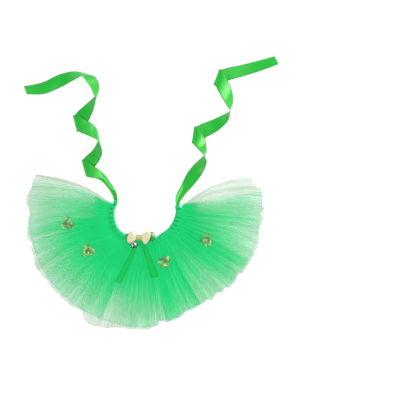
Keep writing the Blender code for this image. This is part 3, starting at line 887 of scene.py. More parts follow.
@dataclass
class TulleFan(DressedNode):
    """One fan of net, gathered into the casing and spread over the table.

    Attributes:
        below: The piece that it lies on; not used.
        layer: Which fan it is.
        slot: Its material slot.
        pleats: Large pleats round the fan.
        hem_lift_mm: How far the pleats' crests stand over their valleys at the hem.
        left_inset_deg: How far its left edge is drawn back.
        right_limit_deg: The furthest angle that its right edge reaches.
        phase: Where its uneven pleats start.
        fine_gathers: Small gathers near the neck.
        coarse_gathers: Small gathers near the hem.
        cut_height: The cut strip's height, from casing to hem.
        seed: Which random lattices it uses.
        cut_length: The length of the strip that was gathered into it.
        columns: Spans of the grid round the fan.
        rows: Rows of the grid from casing to hem.
        hem_drop: How far a green hem is drawn towards the lowest fan's hem.
        drop_limit_mm: The furthest distance of that lowest hem that counts.
        ripple_mm: How far the hem goes in and out with the pleats.
        hem_wave_mm: How far it goes in and out with the gathers.
        hem_thread_mm: How far its cut threads go in and out.
        neck_gather_mm: The fine gathers' height at the neck.
        body_gather_mm: How much higher they are away from it.
        coarse_gather_mm: The coarse gathers' height.
        loft_mm: How high the net lies over its valleys.
    """

    below: str
    layer: Layer
    slot: Slot
    pleats: int
    hem_lift_mm: float
    left_inset_deg: float
    right_limit_deg: float
    phase: float
    fine_gathers: int
    coarse_gathers: int
    cut_height: float
    seed: int
    cut_length: float = 0.94
    columns: int = 1440
    rows: int = 36
    hem_drop: float = 0.7
    drop_limit_mm: float = 226.0
    ripple_mm: float = 0.6
    hem_wave_mm: float = 0.9
    hem_thread_mm: float = 0.3
    neck_gather_mm: float = 0.28
    body_gather_mm: float = 0.5
    coarse_gather_mm: float = 0.8
    loft_mm: float = 0.5

    def noise(self, lattice: Lattice, u: Array, v: Array, cells_u: int, cells_v: int) -> Array:
        """Heights from -1 to 1 of one of the fan's own lattices."""
        return soft_noise(self.seed + lattice.value, u, v, cells_u, cells_v)

    def pleat_section(self, stand: Array) -> tuple[Array, Array]:
        """The large pleats' rounded section and the hem's ripple.

        Widths are one plus an uneven sine, crests vary by another sine, and each pleat rises,
        stays up, falls and stays down over its four shares. A running mean rounds the corners.

        Args:
            stand: Each column's place round the fan.

        Returns:
            Lift from 0 to 1, and ripple from -1 to 1.
        """
        pleat = np.arange(self.pleats)
        width = 1.0 + PLEAT_UNEVENNESS * np.sin(2.4 * pleat + self.phase)
        crest = 1.0 - (1.0 - LOWEST_CREST) * (0.5 + 0.5 * np.sin(1.7 * pleat + 2.0 * self.phase))
        steps = (width[:, None] * np.array(PLEAT_SHARES)[None, :]).ravel()
        knots = np.concatenate([[0.0], np.cumsum(steps)])
        knots = knots / knots[-1]
        lifts = np.append((crest[:, None] * np.array(PLEAT_LIFTS)[None, :]).ravel(), 0.0)
        lift = np.interp(stand, knots, lifts)
        window = max(3, int(0.22 * self.columns / self.pleats)) | 1
        padded = np.pad(lift, window // 2, mode="edge")
        lift = np.convolve(padded, np.full(window, 1.0 / window), mode="valid")
        ripple = np.interp(stand, knots, np.sin(5.3 * np.arange(len(knots)) + self.phase))
        return lift, ripple

    def angle_at(self, stand: Array, radius_mm: Array | float) -> Array:
        """The angle of every column at a distance: the two ends mixed by its place.

        Args:
            stand: Each column's place round the fan.
            radius_mm: Distance from the neck's centre.

        Returns:
            The angles in degrees.
        """
        inset = self.left_inset_deg * smooth_between(66.0, 84.0, radius_mm)
        left = read_curve(FAN_ENDS, 1, radius_mm) + inset
        right = np.minimum(read_curve(FAN_ENDS, 2, radius_mm), self.right_limit_deg)
        return left + (right - left) * (1.0 - stand)

    def hem_mm(self, stand: Array, ripple: Array) -> Array:
        """The hem's distance: the table's, drawn towards the lowest hem, with small waves.

        Args:
            stand: Each column's place round the fan.
            ripple: The pleats' own in and out, from -1 to 1.

        Returns:
            The distance from the neck's centre for each place.
        """
        angle = self.angle_at(stand, FAN_ENDS[-1].radius_mm)
        hem = read_curve(HEMS, self.layer.value, angle) + self.ripple_mm * ripple
        if self.layer is not Layer.UNDER:
            lowest = np.minimum(read_curve(HEMS, Layer.UNDER.value, angle), self.drop_limit_mm)
            hem = hem + self.hem_drop * (lowest - hem)
        flat = 0.0 * stand
        hem = hem + self.hem_wave_mm * self.noise(Lattice.HEM_WAVES, stand, flat, 110, 1)
        return hem + self.hem_thread_mm * self.noise(Lattice.HEM_THREADS, stand, flat, 420, 1)

    def neck_mm(self, stand: Array) -> Array:
        """The neck edge's distance: it follows the casing in to its left mouth.

        Args:
            stand: Each column's place round the fan.

        Returns:
            The distance from the neck's centre for each place.
        """
        angle = self.angle_at(stand, SKIRT_NECK_RADIUS / MM)
        drawn = LEFT_MOUTH_SHIFT / MM + MOUTH_SHRINK * CASING_HALF_MM
        drawn = drawn * (1.0 - smooth_between(*LEFT_MOUTH_DEG, angle))
        return SKIRT_NECK_RADIUS / MM - drawn

    def plan(self, stand: Array, ripple: Array) -> NetPlan:
        """Lays the net out in plan: each row is a share of the way from neck edge to hem.

        Args:
            stand: Each column's place round the fan.
            ripple: The pleats' own in and out, from -1 to 1.

        Returns:
            The points in plan and the gathers' turns there.
        """
        way = np.linspace(0.0, 1.0, self.rows - 1)
        way = np.append(way[:-1], [1.0 - 1.6 * MM / self.cut_height, 1.0])[:, None]
        neck = self.neck_mm(stand)
        radius_mm = neck + (self.hem_mm(stand, ripple) - neck) * way
        drift = 0.006 * self.noise(Lattice.DRIFT, stand, way, 26, 2) * way
        place = np.clip(stand + drift, 0.0, 1.0)
        wander = self.noise(Lattice.WANDER, place, way, 70, 3)
        return NetPlan(
            stand=stand, way=way, place=place, radius_mm=radius_mm,
            angle_deg=self.angle_at(stand, radius_mm),
            fine_turns=self.fine_gathers * place + 0.8 * wander,
            coarse_turns=self.coarse_gathers * place + 0.75 * wander,
        )

    def heights_mm(self, plan: NetPlan, lift: Array) -> Array:
        """Each point's height: the layer's valley, plus its pleat, plus its gathers.

        The gathers are fine near the neck and coarser near the hem. Only the lowest fan is
        raised by as much as they go down, so that it stays over the table.

        Args:
            plan: The points in plan.
            lift: The pleats' section, from 0 to 1.

        Returns:
            The heights over the table.
        """
        out = smooth_between(90.0, 190.0, plan.radius_mm)
        body = self.body_gather_mm * smooth_between(72.0, 115.0, plan.radius_mm)
        fine = (self.neck_gather_mm + body) * (1.0 - 0.6 * out)
        coarse = self.coarse_gather_mm * out
        gathers = fine * fold_wave(plan.fine_turns) + coarse * fold_wave(plan.coarse_turns)
        height = read_curve(HEIGHTS, self.layer.value, plan.radius_mm)
        uneven = 0.24 * self.noise(Lattice.SLACK, plan.place, plan.way, 46, 2)
        slack = 0.5 * lift[None, :] + 0.26 + uneven
        z = height + crest_lift_mm(self.hem_lift_mm, plan.radius_mm) * slack + gathers + self.loft_mm
        if self.layer is Layer.UNDER:
            z = z + fine + coarse - self.neck_gather_mm
        return z

    def cover(self, plan: NetPlan) -> Array:
        """How many threads' depths of net lie at each point.

        The layer's cover at that distance, times how closely the gathers are pushed together
        there, times e to the power of the streaks, which grow towards the hem. The streaks are
        noise, and narrow lines of open and of close net where two lattices cross zero.

        Args:
            plan: The points in plan.

        Returns:
            The cover of each point.
        """
        radius_mm = plan.radius_mm
        cover = read_curve(COVERS, self.layer.value, radius_mm)
        if self.layer is not Layer.UNDER:
            near = read_curve(GATHER_PLACES, 1, plan.angle_deg)
            far = read_curve(GATHER_PLACES, 2, plan.angle_deg)
            share = near + (far - near) * smooth_between(130.0, 190.0, radius_mm)
            cover = cover * (1.0 + (share - 1.0) * smooth_between(72.0, 105.0, radius_mm))
        place, way = plan.place, plan.way
        streak = 0.24 * self.noise(Lattice.BROAD_STREAKS, place, way, 44, 1)
        streak = streak + 0.26 * self.noise(Lattice.STREAKS, place, way, 120, 2)
        streak = streak + 0.09 * self.noise(Lattice.FINE_STREAKS, place, way, 300, 3)
        open_line = self.noise(Lattice.OPEN_LINES, place, 0.25 * way, 60, 1)
        close_line = self.noise(Lattice.CLOSE_LINES, place, 0.25 * way, 84, 1)
        streak = streak - 0.50 * np.exp(-((open_line / 0.13) ** 2))
        streak = streak + 0.34 * np.exp(-((close_line / 0.10) ** 2))
        steep = np.abs(np.cos(2.0 * math.pi * plan.coarse_turns))
        streak = streak + 0.08 * (steep - 0.6) + 0.07
        return cover * np.exp(streak * (0.25 + 0.75 * smooth_between(90.0, 175.0, radius_mm)))

    def cut_edges(self, plan: NetPlan) -> tuple[Array, Array]:
        """Where the net's cut edges and its close side strips are.

        Args:
            plan: The points in plan.

        Returns:
            1 on a cut edge and 0 away from it, and 1 in a side strip and 0 away from it.
        """
        hem_start = 1.0 - 1.7 * MM / self.cut_height
        hem = smooth_between(hem_start, 1.0, plan.way + 0.0 * plan.stand)
        side = np.minimum(plan.stand, 1.0 - plan.stand) * self.cut_length + 0.0 * plan.way
        side_edge = 1.0 - smooth_between(0.0, 3.0 * MM, side)
        strip = 1.0 - smooth_between(6.0 * MM, 14.0 * MM, side)
        return np.maximum(hem, 0.8 * side_edge), strip

    def build(self, finish: TulleFinish) -> None:
        """Args:
            finish: The net.
        """
        stand = np.linspace(0.0, 1.0, self.columns + 1)[None, :]
        lean = 0.010 * self.noise(Lattice.LEAN, stand, 0.0 * stand, 24, 1)
        lift, ripple = self.pleat_section(np.clip(stand[0] + lean[0], 0.0, 1.0))
        plan = self.plan(stand, ripple)
        x, y = from_neck(plan.angle_deg, plan.radius_mm * MM)
        points = np.stack([x, y, self.heights_mm(plan, lift) * MM], axis=2)
        edge, strip = self.cut_edges(plan)
        values = {"cover": self.cover(plan) * (1.0 + 0.3 * strip), "edge": edge}
        uv = cloth_uv(plan.way[:, 0] * self.cut_height, stand[0] * self.cut_length)
        piece = add_grid(self.name, Grid(points, uv), finish.material(), values)
        settle(piece, self.slot, self.node)


@dataclass
class TulleSkirts:
    """The three fans, lowest first.

    Attributes:
        lining: The lowest fan's net.
        green: The net of the two over it.
    """

    lining: TulleFinish = TulleFinish(
        name="pale net", colour=(0.41, 0.53, 0.415, 1.0), pale=(0.41, 0.53, 0.415, 1.0),
        edge=(0.36, 0.42, 0.40, 1.0), streaks=0.18,
    )
    green: TulleFinish = TulleFinish(
        name="green net", colour=(0.019, 0.655, 0.228, 1.0), pale=(0.055, 0.632, 0.275, 1.0),
        edge=(0.36, 0.42, 0.40, 1.0),
    )

    def build(self) -> None:
        """Makes the three fans."""
        TulleFan(
            name="underskirt_net", node="tulle_underskirt", below="floor", layer=Layer.UNDER,
            slot=Slot.PALE_TULLE, pleats=32, hem_lift_mm=5.0, left_inset_deg=0.0,
            right_limit_deg=400.0, phase=0.4, fine_gathers=190, coarse_gathers=150,
            cut_height=0.158, seed=11,
        ).build(self.lining)
        TulleFan(
            name="middle_skirt_net", node="tulle_middle_skirt", below="underskirt_net",
            layer=Layer.MIDDLE, slot=Slot.GREEN_TULLE, pleats=36, hem_lift_mm=6.0,
            left_inset_deg=2.6, right_limit_deg=369.0, phase=1.7, fine_gathers=220,
            coarse_gathers=170, cut_height=0.148, seed=31,
        ).build(self.green)
        TulleFan(
            name="overskirt_net", node="tulle_overskirt", below="middle_skirt_net",
            layer=Layer.OVER, slot=Slot.GREEN_TULLE, pleats=48, hem_lift_mm=TOP_HEM_LIFT_MM,
            left_inset_deg=4.0, right_limit_deg=367.6, phase=2.9, fine_gathers=240,
            coarse_gathers=190, cut_height=0.141, seed=51,
        ).build(self.green)


class CasingPoint(NamedTuple):
    """A corner of the casing's section on a crest and in a pucker."""

    out_mm: float
    height_mm: float
    pucker_out_mm: float
    pucker_height_mm: float


CASING_SECTION = rows_of(
    CasingPoint,
    (-4.6, 0.4, -4.6, 0.4), (4.6, 0.4, 4.6, 0.4),
    (6.0, 1.2, 6.0, 1.2), (6.3, 6.5, 6.0, 5.6), (3.0, 7.5, 2.9, 5.9), (-2.6, 8.0, -2.6, 6.0),
    (-5.6, 6.0, -5.5, 5.8), (-6.2, 2.2, -6.2, 2.2),
)


def closed_curve(corners: Array, steps: int) -> Array:
    """A smooth closed curve through corners.

    Each span is the cubic with slopes of half the neighbours' difference.

    Args:
        corners: The corners in order, n by any.
        steps: Points for each span.

    Returns:
        n times steps points.
    """
    t = np.linspace(0.0, 1.0, steps, endpoint=False)[None, :, None]
    here, ahead = corners[:, None], np.roll(corners, -1, 0)[:, None]
    slope = 0.5 * (np.roll(corners, -1, 0) - np.roll(corners, 1, 0))[:, None]
    slope_ahead = np.roll(slope, -1, 0)
    curve = (
        here * (2 * t**3 - 3 * t**2 + 1)
        + slope * (t**3 - 2 * t**2 + t)
        + ahead * (3 * t**2 - 2 * t**3)
        + slope_ahead * (t**3 - t**2)
    )
    return curve.reshape(-1, corners.shape[1])


@dataclass
class NeckCasing:
    """The net turned over into a tube round the neck, puckered by its drawn ribbon.

    Attributes:
        start_deg: The angle of its left mouth.
        end_deg: The angle of its right mouth.
        puckers: Puckers from mouth to mouth.
        stations: Spans of the grid for each pucker.
        section_steps: Spans of the grid for each corner of its section.
        wall: The folded net's thickness.
        cut_length: The net's length with its puckers let out.
        cut_width: The net once round the tube, with the seam.
        left_mouth_shift: How far its left mouth is drawn in.
        right_mouth_shift: How far its right mouth is drawn in.
        pucker_slope: How steeply a pucker ends, over a pucker's length.
        front_calm: How much shallower the puckers are at the front.
        puff: How uneven its top is.
        stitches: Stitches from mouth to mouth.
        stitch_share: How much of its room a stitch takes.
        stitch_radius: The stitches' distance from the neck's centre.
        stitch_height: The height of a stitch's ends.
        stitch_bow: How much higher its middle is.
        thread_half: Half the thread's thickness.
        net: The net's finish.
        thread: The thread's finish.
    """

    start_deg: float = 163.0
    end_deg: float = 368.9
    puckers: int = 28
    stations: int = 26
    section_steps: int = 3
    wall: float = 0.35 * MM
    cut_length: float = 0.30
    cut_width: float = 0.038
    left_mouth_shift: float = LEFT_MOUTH_SHIFT
    right_mouth_shift: float = 3.0 * MM
    pucker_slope: float = 4.6
    front_calm: float = 0.72
    puff: float = 0.18 * MM
    stitches: int = 80
    stitch_share: float = 0.62
    stitch_radius: float = 68.9 * MM
    stitch_height: float = 6.6 * MM
    stitch_bow: float = 0.35 * MM
    thread_half: float = 0.26 * MM
    net: CasingFinish = CasingFinish(
        name="casing net", colour=(0.007, 0.48, 0.139, 1.0), deep=(0.002, 0.27, 0.075, 1.0),
    )
    thread: ThreadFinish = ThreadFinish(name="green thread", colour=(0.008, 0.44, 0.125, 1.0))

    def pinch(self, along: Array) -> Array:
        """How deep each station lies in a pucker, from 0 on a crest to 1.

        One minus the distance to the nearest pucker times the slope, to the power 0.8, times
        that pucker's own depth, which is less at the front.

        Args:
            along: Place round the neck, from 0 at the left mouth to 1.

        Returns:
            The depth at each place.
        """
        turns = along * self.puckers
        away = np.abs(turns - np.rint(turns))
        depth = 0.85 + 0.3 * soft_noise(71, along, 0.0 * along, self.puckers, 1)
        front = smooth_between(0.20, 0.30, along) * (1.0 - smooth_between(0.74, 0.82, along))
        depth = np.clip(depth, 0.4, 1.0) * (1.0 - self.front_calm * front)
        return np.clip(1.0 - self.pucker_slope * away, 0.0, 1.0) ** 0.8 * depth

    def build(self) -> None:
        """Makes the tube: its section slides from crest to pucker as it goes round the neck.

        Towards each mouth the section narrows and is drawn in. The puckers' painted shade
        falls on its upper inner side alone.
        """
        along = np.linspace(0.0, 1.0, self.puckers * self.stations + 1)
        section = closed_curve(np.array(CASING_SECTION, float), self.section_steps) * MM
        pinch = self.pinch(along)[:, None]
        out = section[None, :, 0] + (section[:, 2] - section[:, 0])[None, :] * pinch
        z = section[None, :, 1] + (section[:, 3] - section[:, 1])[None, :] * pinch
        puff = self.puff * soft_noise(72, along, 0.0 * along, 3 * self.puckers, 1)[:, None]
        z = z + puff * smooth_between(1.5 * MM, 6.0 * MM, section[None, :, 1])
        angle = self.start_deg + (self.end_deg - self.start_deg) * along
        whole = smooth_between(*LEFT_MOUTH_DEG, angle)
        whole = whole * (1.0 - smooth_between(*RIGHT_MOUTH_DEG, angle))
        mouth = 1.0 - whole[:, None]
        shift = np.where(along < 0.5, self.left_mouth_shift, self.right_mouth_shift)
        drawn = out * (1.0 - MOUTH_SHRINK * mouth) - shift[:, None] * mouth
        x, y = from_neck(angle[:, None], NECK_RADIUS + drawn)
        around = np.linspace(0.0, self.cut_width, section.shape[0] + 1)
        uv = cloth_uv(along * self.cut_length, around)
        grid = Grid(np.stack([x, y, z], axis=2), uv, closed_columns=True)
        # Painted shade: the band on the upper inner side where each pucker darkens the colour.
        painted_shade_band = smooth_between(2.5 * MM, 5.5 * MM, z) * smooth_between(-5.0 * MM, -2.8 * MM, out)
        painted_shade_band = painted_shade_band * (1.0 - smooth_between(1.6 * MM, 4.6 * MM, out))
        values = {"pucker": pinch * painted_shade_band}
        piece = add_grid("neck_casing_net", grid, self.net.material(), values)
        give_wall(piece, self.wall)
        settle(piece, Slot.CASING_TULLE, "neck_casing")
        self.build_stitches()

    def build_stitches(self) -> Object:
        """The running stitch that closes the casing: short threads that dip at both ends.

        A thread's height is its ends' plus a parabola, and it thins by a fourth power.

        Returns:
            All the stitches, as one piece.
        """
        along = (np.arange(self.stitches) + 0.5) / self.stitches
        angle = self.start_deg + (self.end_deg - self.start_deg) * along
        length_deg = self.stitch_share * (self.end_deg - self.start_deg) / self.stitches
        t = np.linspace(-1.0, 1.0, 6)[None, :, None]
        turn = full_turn(6)[None, None, :]
        thick = self.thread_half * (1.0 - 0.75 * t**4)
        radius = self.stitch_radius + thick * np.cos(turn)
        height = self.stitch_height + self.stitch_bow * (1.0 - t**2) + thick * np.sin(turn)
        x, y = from_neck(angle[:, None, None] + 0.5 * length_deg * t, radius)
        points = np.stack([x, y, height + 0.0 * x], axis=3)
        count = points.shape[1] * points.shape[2]
        sides = Grid(points[0], closed_columns=True).faces()
        ends = np.array([[0, 1, 2, 3], [0, 3, 4, 5]])
        one = np.concatenate([sides, ends[:, ::-1], ends + count - 6])
        faces = (one[None] + (np.arange(self.stitches) * count)[:, None, None]).reshape(-1, 4)
        piece = add_piece("neck_casing_stitches", points, faces, self.thread.material())
        return settle(piece, Slot.CASING_TULLE)


class RibbonRow(NamedTuple):
    """One section of a tie: its two edges, how far its middle sags, and a fold's height."""

    ax_mm: float
    ay_mm: float
    az_mm: float
    bx_mm: float
    by_mm: float
    bz_mm: float
    sag_mm: float = 0.0
    fold_mm: float = 0.0


LEFT_TIE = rows_of(
    RibbonRow,
    (-232, 299, 0.6, -225, 283, 8), (-198, 306, 0.6, -194, 284, 5),
    (-161.7, 322.5, 0.6, -155.7, 300.2, 1.5), (-130.9, 327.1, 0.6, -130.9, 312.2, 12),
    (-111.2, 322.0, 1.5, -119.4, 316.1, 16), (-96.6, 316.5, 3.0, -111.2, 306.2, 13.5),
    (-89.8, 304.5, 1.6, -103.5, 295.1, 13), (-88.9, 295.9, 1.2, -97.5, 282.2, 15),
    (-91.0, 285.7, 1.0, -93.7, 273.7, 19), (-96.6, 280.2, 0.8, -95.8, 263.4, 15),
    (-118.0, 261.4, 0.6, -102.3, 246.3, 6), (-128.8, 251.9, 0.6, -110.9, 230.9, 2),
    (-138.6, 243.2, 0.7, -130.9, 212.1, 0.7, 0.0, 2.6), (-109.5, 232.3, 4.5, -121.0, 209.5, 10.5),
    (-100.1, 225.8, 4.5, -109.1, 204.9, 14.0), (-93.6, 218.1, 2.5, -99.2, 200.4, 16.0),
    (-90.7, 208.6, 1.6, -91.5, 196.3, 18.5), (-88.9, 198.4, 1.2, -84.7, 186.4, 19.5),
    (-92.0, 193.2, 0.6, -82.1, 176.1, 16), (-100.9, 177.8, 0.6, -86.4, 160.7, 8),
    (-112.9, 167.2, 0.6, -94.9, 148.7, 2.5), (-122.3, 159.3, 0.7, -113.8, 128.0, 0.7, 0.0, 2.6),
    (-97.5, 145.8, 4.5, -109.8, 126.5, 9.5), (-87.2, 139.3, 4.5, -96.6, 124.4, 10.5, -0.3),
    (-77.0, 129.0, 2.6, -85.2, 120.0, 7.5, -2.4), (-66.7, 114.5, 1.8, -72.7, 106.8, 3.6, -4.5),
    (-58.1, 101.5, 3.4, -65.6, 96.0, 2.2, -1.2), (-54.6, 91.5, 4.2, -62.6, 89.8, 2.0, 0.3),
    (-54.0, 81.0, 4.4, -60.6, 83.0, 2.2, 0.3),
)

RIGHT_TIE = rows_of(
    RibbonRow,
    (244.4, 356.5, 0.6, 251.6, 340.0, 8), (210.4, 347.0, 0.6, 218.6, 328.1, 4.5),
    (177.4, 338.8, 0.6, 185.7, 318.2, 1.5), (156.8, 334.7, 0.6, 160.9, 311.2, 1.0),
    (139.3, 331.8, 0.7, 128.0, 301.7, 0.7, 0.0, 2.6), (156.8, 305.8, 4.5, 135.8, 291.0, 10.0),
    (162.6, 291.0, 4.0, 146.1, 272.5, 14.5), (165.5, 274.5, 2.8, 153.7, 260.1, 17.0),
    (164.0, 262.2, 1.6, 158.5, 252.9, 19.5), (157.8, 251.5, 1.0, 158.9, 244.7, 20),
    (144.5, 244.0, 0.6, 155.8, 233.3, 13), (128.0, 236.2, 0.6, 138.3, 215.8, 4),
    (107.4, 228.4, 0.6, 116.7, 203.5, 1.0), (91.9, 223.0, 0.7, 86.8, 190.5, 0.7, 0.0, 2.6),
    (111.1, 200.8, 4.0, 91.3, 187.0, 10.5), (114.2, 187.0, 3.6, 99.6, 178.1, 14.5),
    (114.8, 173.6, 2.0, 107.0, 170.5, 20), (108.0, 165.8, 0.8, 114.4, 159.2, 20),
    (95.0, 154.0, 0.6, 113.2, 146.8, 13), (78.6, 134.5, 0.6, 104.3, 129.3, 3),
    (70.3, 118.0, 0.8, 91.9, 112.8, 2.5), (64.0, 104.6, 3.2, 79.6, 99.5, 4.4, 2.2),
    (58.2, 93.7, 5.6, 70.4, 88.1, 6.4, 2.4), (56.2, 83.0, 6.9, 65.4, 80.9, 7.2, 1.9),
    (57.0, 76.4, 6.6, 64.2, 77.6, 6.8, 1.6), (57.4, 71.0, 5.4, 63.8, 71.6, 5.2, 0.8),
)


def smooth_path(points: Array, step: float) -> Array:
    """Carries rows of points along the cubic through all of them.

    A row's slope is its neighbours' chords, each weighted by the other's length.

    Args:
        points: Rows by points across by 3.
        step: The distance between the new rows.

    Returns:
        New rows about a step apart.
    """
    middle = points[:, points.shape[1] // 2]
    length = np.linalg.norm(np.diff(middle, axis=0), axis=1)
    chord = np.diff(points, axis=0) / length[:, None, None]
    before, after = length[:-1, None, None], length[1:, None, None]
    inner = (chord[:-1] * after + chord[1:] * before) / (before + after)
    slope = np.concatenate([chord[:1], inner, chord[-1:]])
    spans = []
    for index, span in enumerate(length):
        t = np.linspace(0.0, 1.0, max(2, round(span / step)) + 1)[:-1, None, None]
        spans.append(
            points[index] * (2 * t**3 - 3 * t**2 + 1)
            + slope[index] * span * (t**3 - 2 * t**2 + t)
            + points[index + 1] * (3 * t**2 - 2 * t**3)
            + slope[index + 1] * span * (t**3 - t**2)
        )
    return np.concatenate(spans + [points[-1:]])


@dataclass
class SatinTie(DressedNode):
    """One satin ribbon from its cut end to the mouth of the casing.

    Attributes:
        rows: Its sections.
        width: The ribbon's width.
        wall: The ribbon's thickness.
        step: The distance between its rows of points.
        fold_back: How far a crease's bend stands back from its line.
        lowest: The least height of its middle surface, before it is pressed down.
        press: How far it is pressed down where it lies on the table.
        across: Points across.
    """

    rows: tuple[RibbonRow, ...]
    width: float = 25.0 * MM
    wall: float = RIBBON_WALL
    step: float = 1.5 * MM
    fold_back: float = 1.3 * MM
    lowest: float = 0.52 * MM
    press: float = 0.28 * MM
    across: int = 13

    def sections(self) -> Array:
        """The rows as points edge, middle, edge, each crease opened into a soft bend.

        Returns:
            Sections by 3 by 3, in metres.
        """
        sections = []
        for row in self.rows:
            edge_a = np.array([row.ax_mm, row.ay_mm, row.az_mm]) * MM
            edge_b = np.array([row.bx_mm, row.by_mm, row.bz_mm]) * MM
            middle = 0.5 * (edge_a + edge_b)
            middle[2] -= row.sag_mm * MM
            section = np.stack([edge_a, middle, edge_b])
            if row.fold_mm == 0.0:
                sections.append(section)
                continue
            crease = edge_b - edge_a
            inward = np.array([-crease[1], crease[0], 0.0]) / np.hypot(crease[0], crease[1])
            if np.dot(inward, sections[-1][1] - middle) < 0.0:
                inward = -inward
            rise = np.array([0.0, 0.0, row.fold_mm * MM])
            sections.append(section + inward * self.fold_back)
            sections.append(section + rise * 0.5)
            sections.append(section + inward * self.fold_back + rise)
        return np.array(sections)

    def build(self, finish: SatinFinish) -> None:
        """Makes the ribbon: each row is the parabola through its two edges and its middle.

        Args:
            finish: The ribbon's satin.
        """
        rows = smooth_path(self.sections(), self.step)
        t = np.linspace(0.0, 1.0, self.across)[None, :, None]
        points = (
            rows[:, :1] * (1 - t) * (1 - 2 * t)
            + rows[:, 1:2] * 4 * t * (1 - t)
            + rows[:, 2:] * t * (2 * t - 1)
        )
        height = points[:, :, 2]
        down = self.press * (1.0 - smooth_between(0.5 * MM, 2.5 * MM, height))
        points[:, :, 2] = np.maximum(height, self.lowest) - down
        length = travelled(points[:, self.across // 2])
        uv = ribbon_uv(length, self.width, self.across)
        piece = add_grid(self.name, Grid(points, uv), finish.material())
        give_wall(piece, self.wall)
        settle(piece, Slot.GREEN_SATIN, self.node)


@dataclass
class SatinTies:
    """The two ends of the satin ribbon that runs through the casing.

    Attributes:
        satin: The ribbon's finish.
    """

    satin: SatinFinish = SatinFinish(
        name="green satin", colour=(0.005, 0.415, 0.034, 1.0), deep=(0.002, 0.28, 0.018, 1.0),
        edge=(0.010, 0.14, 0.024, 1.0), gleam=(0.45, 1.0, 0.36, 1.0), width=25.0 * MM,
    )

    def build(self) -> None:
        """Makes both ends."""
        SatinTie("left_tie_satin", "tie_ribbon_left", LEFT_TIE).build(self.satin)
        SatinTie("right_tie_satin", "tie_ribbon_right", RIGHT_TIE).build(self.satin)


@dataclass
class BowLoop(DressedNode):
    """A puffed ribbon loop that leaves the knot towards one side.

    Attributes:
        slot: Its material slot.
        heading_deg: The way it leaves the knot.
        start_mm: Where it leaves the knot.
        mid_height_mm: Its middle's height.
        length_mm: How far it reaches.
        upper_half_mm: Half its width on its upper side.
        lower_half_mm: Half its width on its lower side.
        knot_half_mm: Half its width at the knot.
        slant: How much further its upper side reaches than its lower one.
        rounding: How much less both its sides reach than its middle.
        puff_mm: Half its thickness.
        crown: How much thinner it is at its sides.
        creases: Gathers that leave the knot.
        crease_mm: The gathers' height.
        ridge_mm: How high a bend across its top stands.
        wall: The ribbon's thickness.
        side_step: The distance between its rows of points, as a share of its reach.
        columns: Points across.
    """

    slot: Slot
    heading_deg: float
    start_mm: tuple[float, float]
    mid_height_mm: float
    length_mm: float
    upper_half_mm: float
    lower_half_mm: float
    knot_half_mm: float
    slant: float
    rounding: float
    puff_mm: float
    crown: float = 0.22
    creases: float = 3.0
    crease_mm: float = 0.42
    ridge_mm: float = 0.0
    wall: float = RIBBON_WALL
    side_step: float = 0.045
    columns: int = 17

    # The side view from the knot round the loop and back: shares of its length and half height.
    SIDE = (
        (0.0, -0.42), (0.40, -0.86), (0.82, -0.88), (1.0, 0.0), (0.82, 0.88), (0.40, 0.86),
        (0.0, 0.42),
    )

    def build(self, finish: SatinFinish) -> None:
        """Makes the loop: the side view carried across, widening by a sine of its reach.

        The gathers are a cosine across that fades with the reach, and the bend across the top
        is a bell curve near the loop's end.

        Args:
            finish: The ribbon's satin.
        """
        side = smooth_path(np.array(self.SIDE)[:, None, :], self.side_step)[:, 0]
        reach, rise = side[:, 0, None], side[:, 1, None]
        across = np.linspace(-1.0, 1.0, self.columns)[None, :]
        widest = np.where(across > 0.0, self.upper_half_mm, self.lower_half_mm)
        spread = np.sin(0.5 * math.pi * np.clip(1.3 * reach, 0.0, 1.0))
        half = self.knot_half_mm + (widest - self.knot_half_mm) * spread
        heading = math.radians(self.heading_deg)
        mirror = 1.0 if math.cos(heading) > 0.0 else -1.0
        along = self.length_mm * reach * (1.0 + self.slant * across - self.rounding * across**2)
        aside = mirror * half * across
        x = self.start_mm[0] + along * math.cos(heading) - aside * math.sin(heading)
        y = self.start_mm[1] + along * math.sin(heading) + aside * math.cos(heading)
        fold = np.cos(math.pi * self.creases * across) * (1.0 - smooth_between(0.25, 0.95, reach))
        body = self.puff_mm * rise * (1.0 - self.crown * across**2)
        z = self.mid_height_mm + body + self.crease_mm * fold
        ridge = np.exp(-(((reach - 0.78) / 0.10) ** 2)) * smooth_between(0.0, 0.6, rise)
        z = z + self.ridge_mm * ridge
        points = np.stack([x, y, z], axis=2) * MM
        length = travelled(points[:, self.columns // 2])
        width = 2.0 * max(self.upper_half_mm, self.lower_half_mm) * MM
        uv = ribbon_uv(length, width, self.columns)
        piece = add_grid(self.name, Grid(points, uv), finish.material())
        give_wall(piece, self.wall)
        settle(piece, self.slot, self.node)


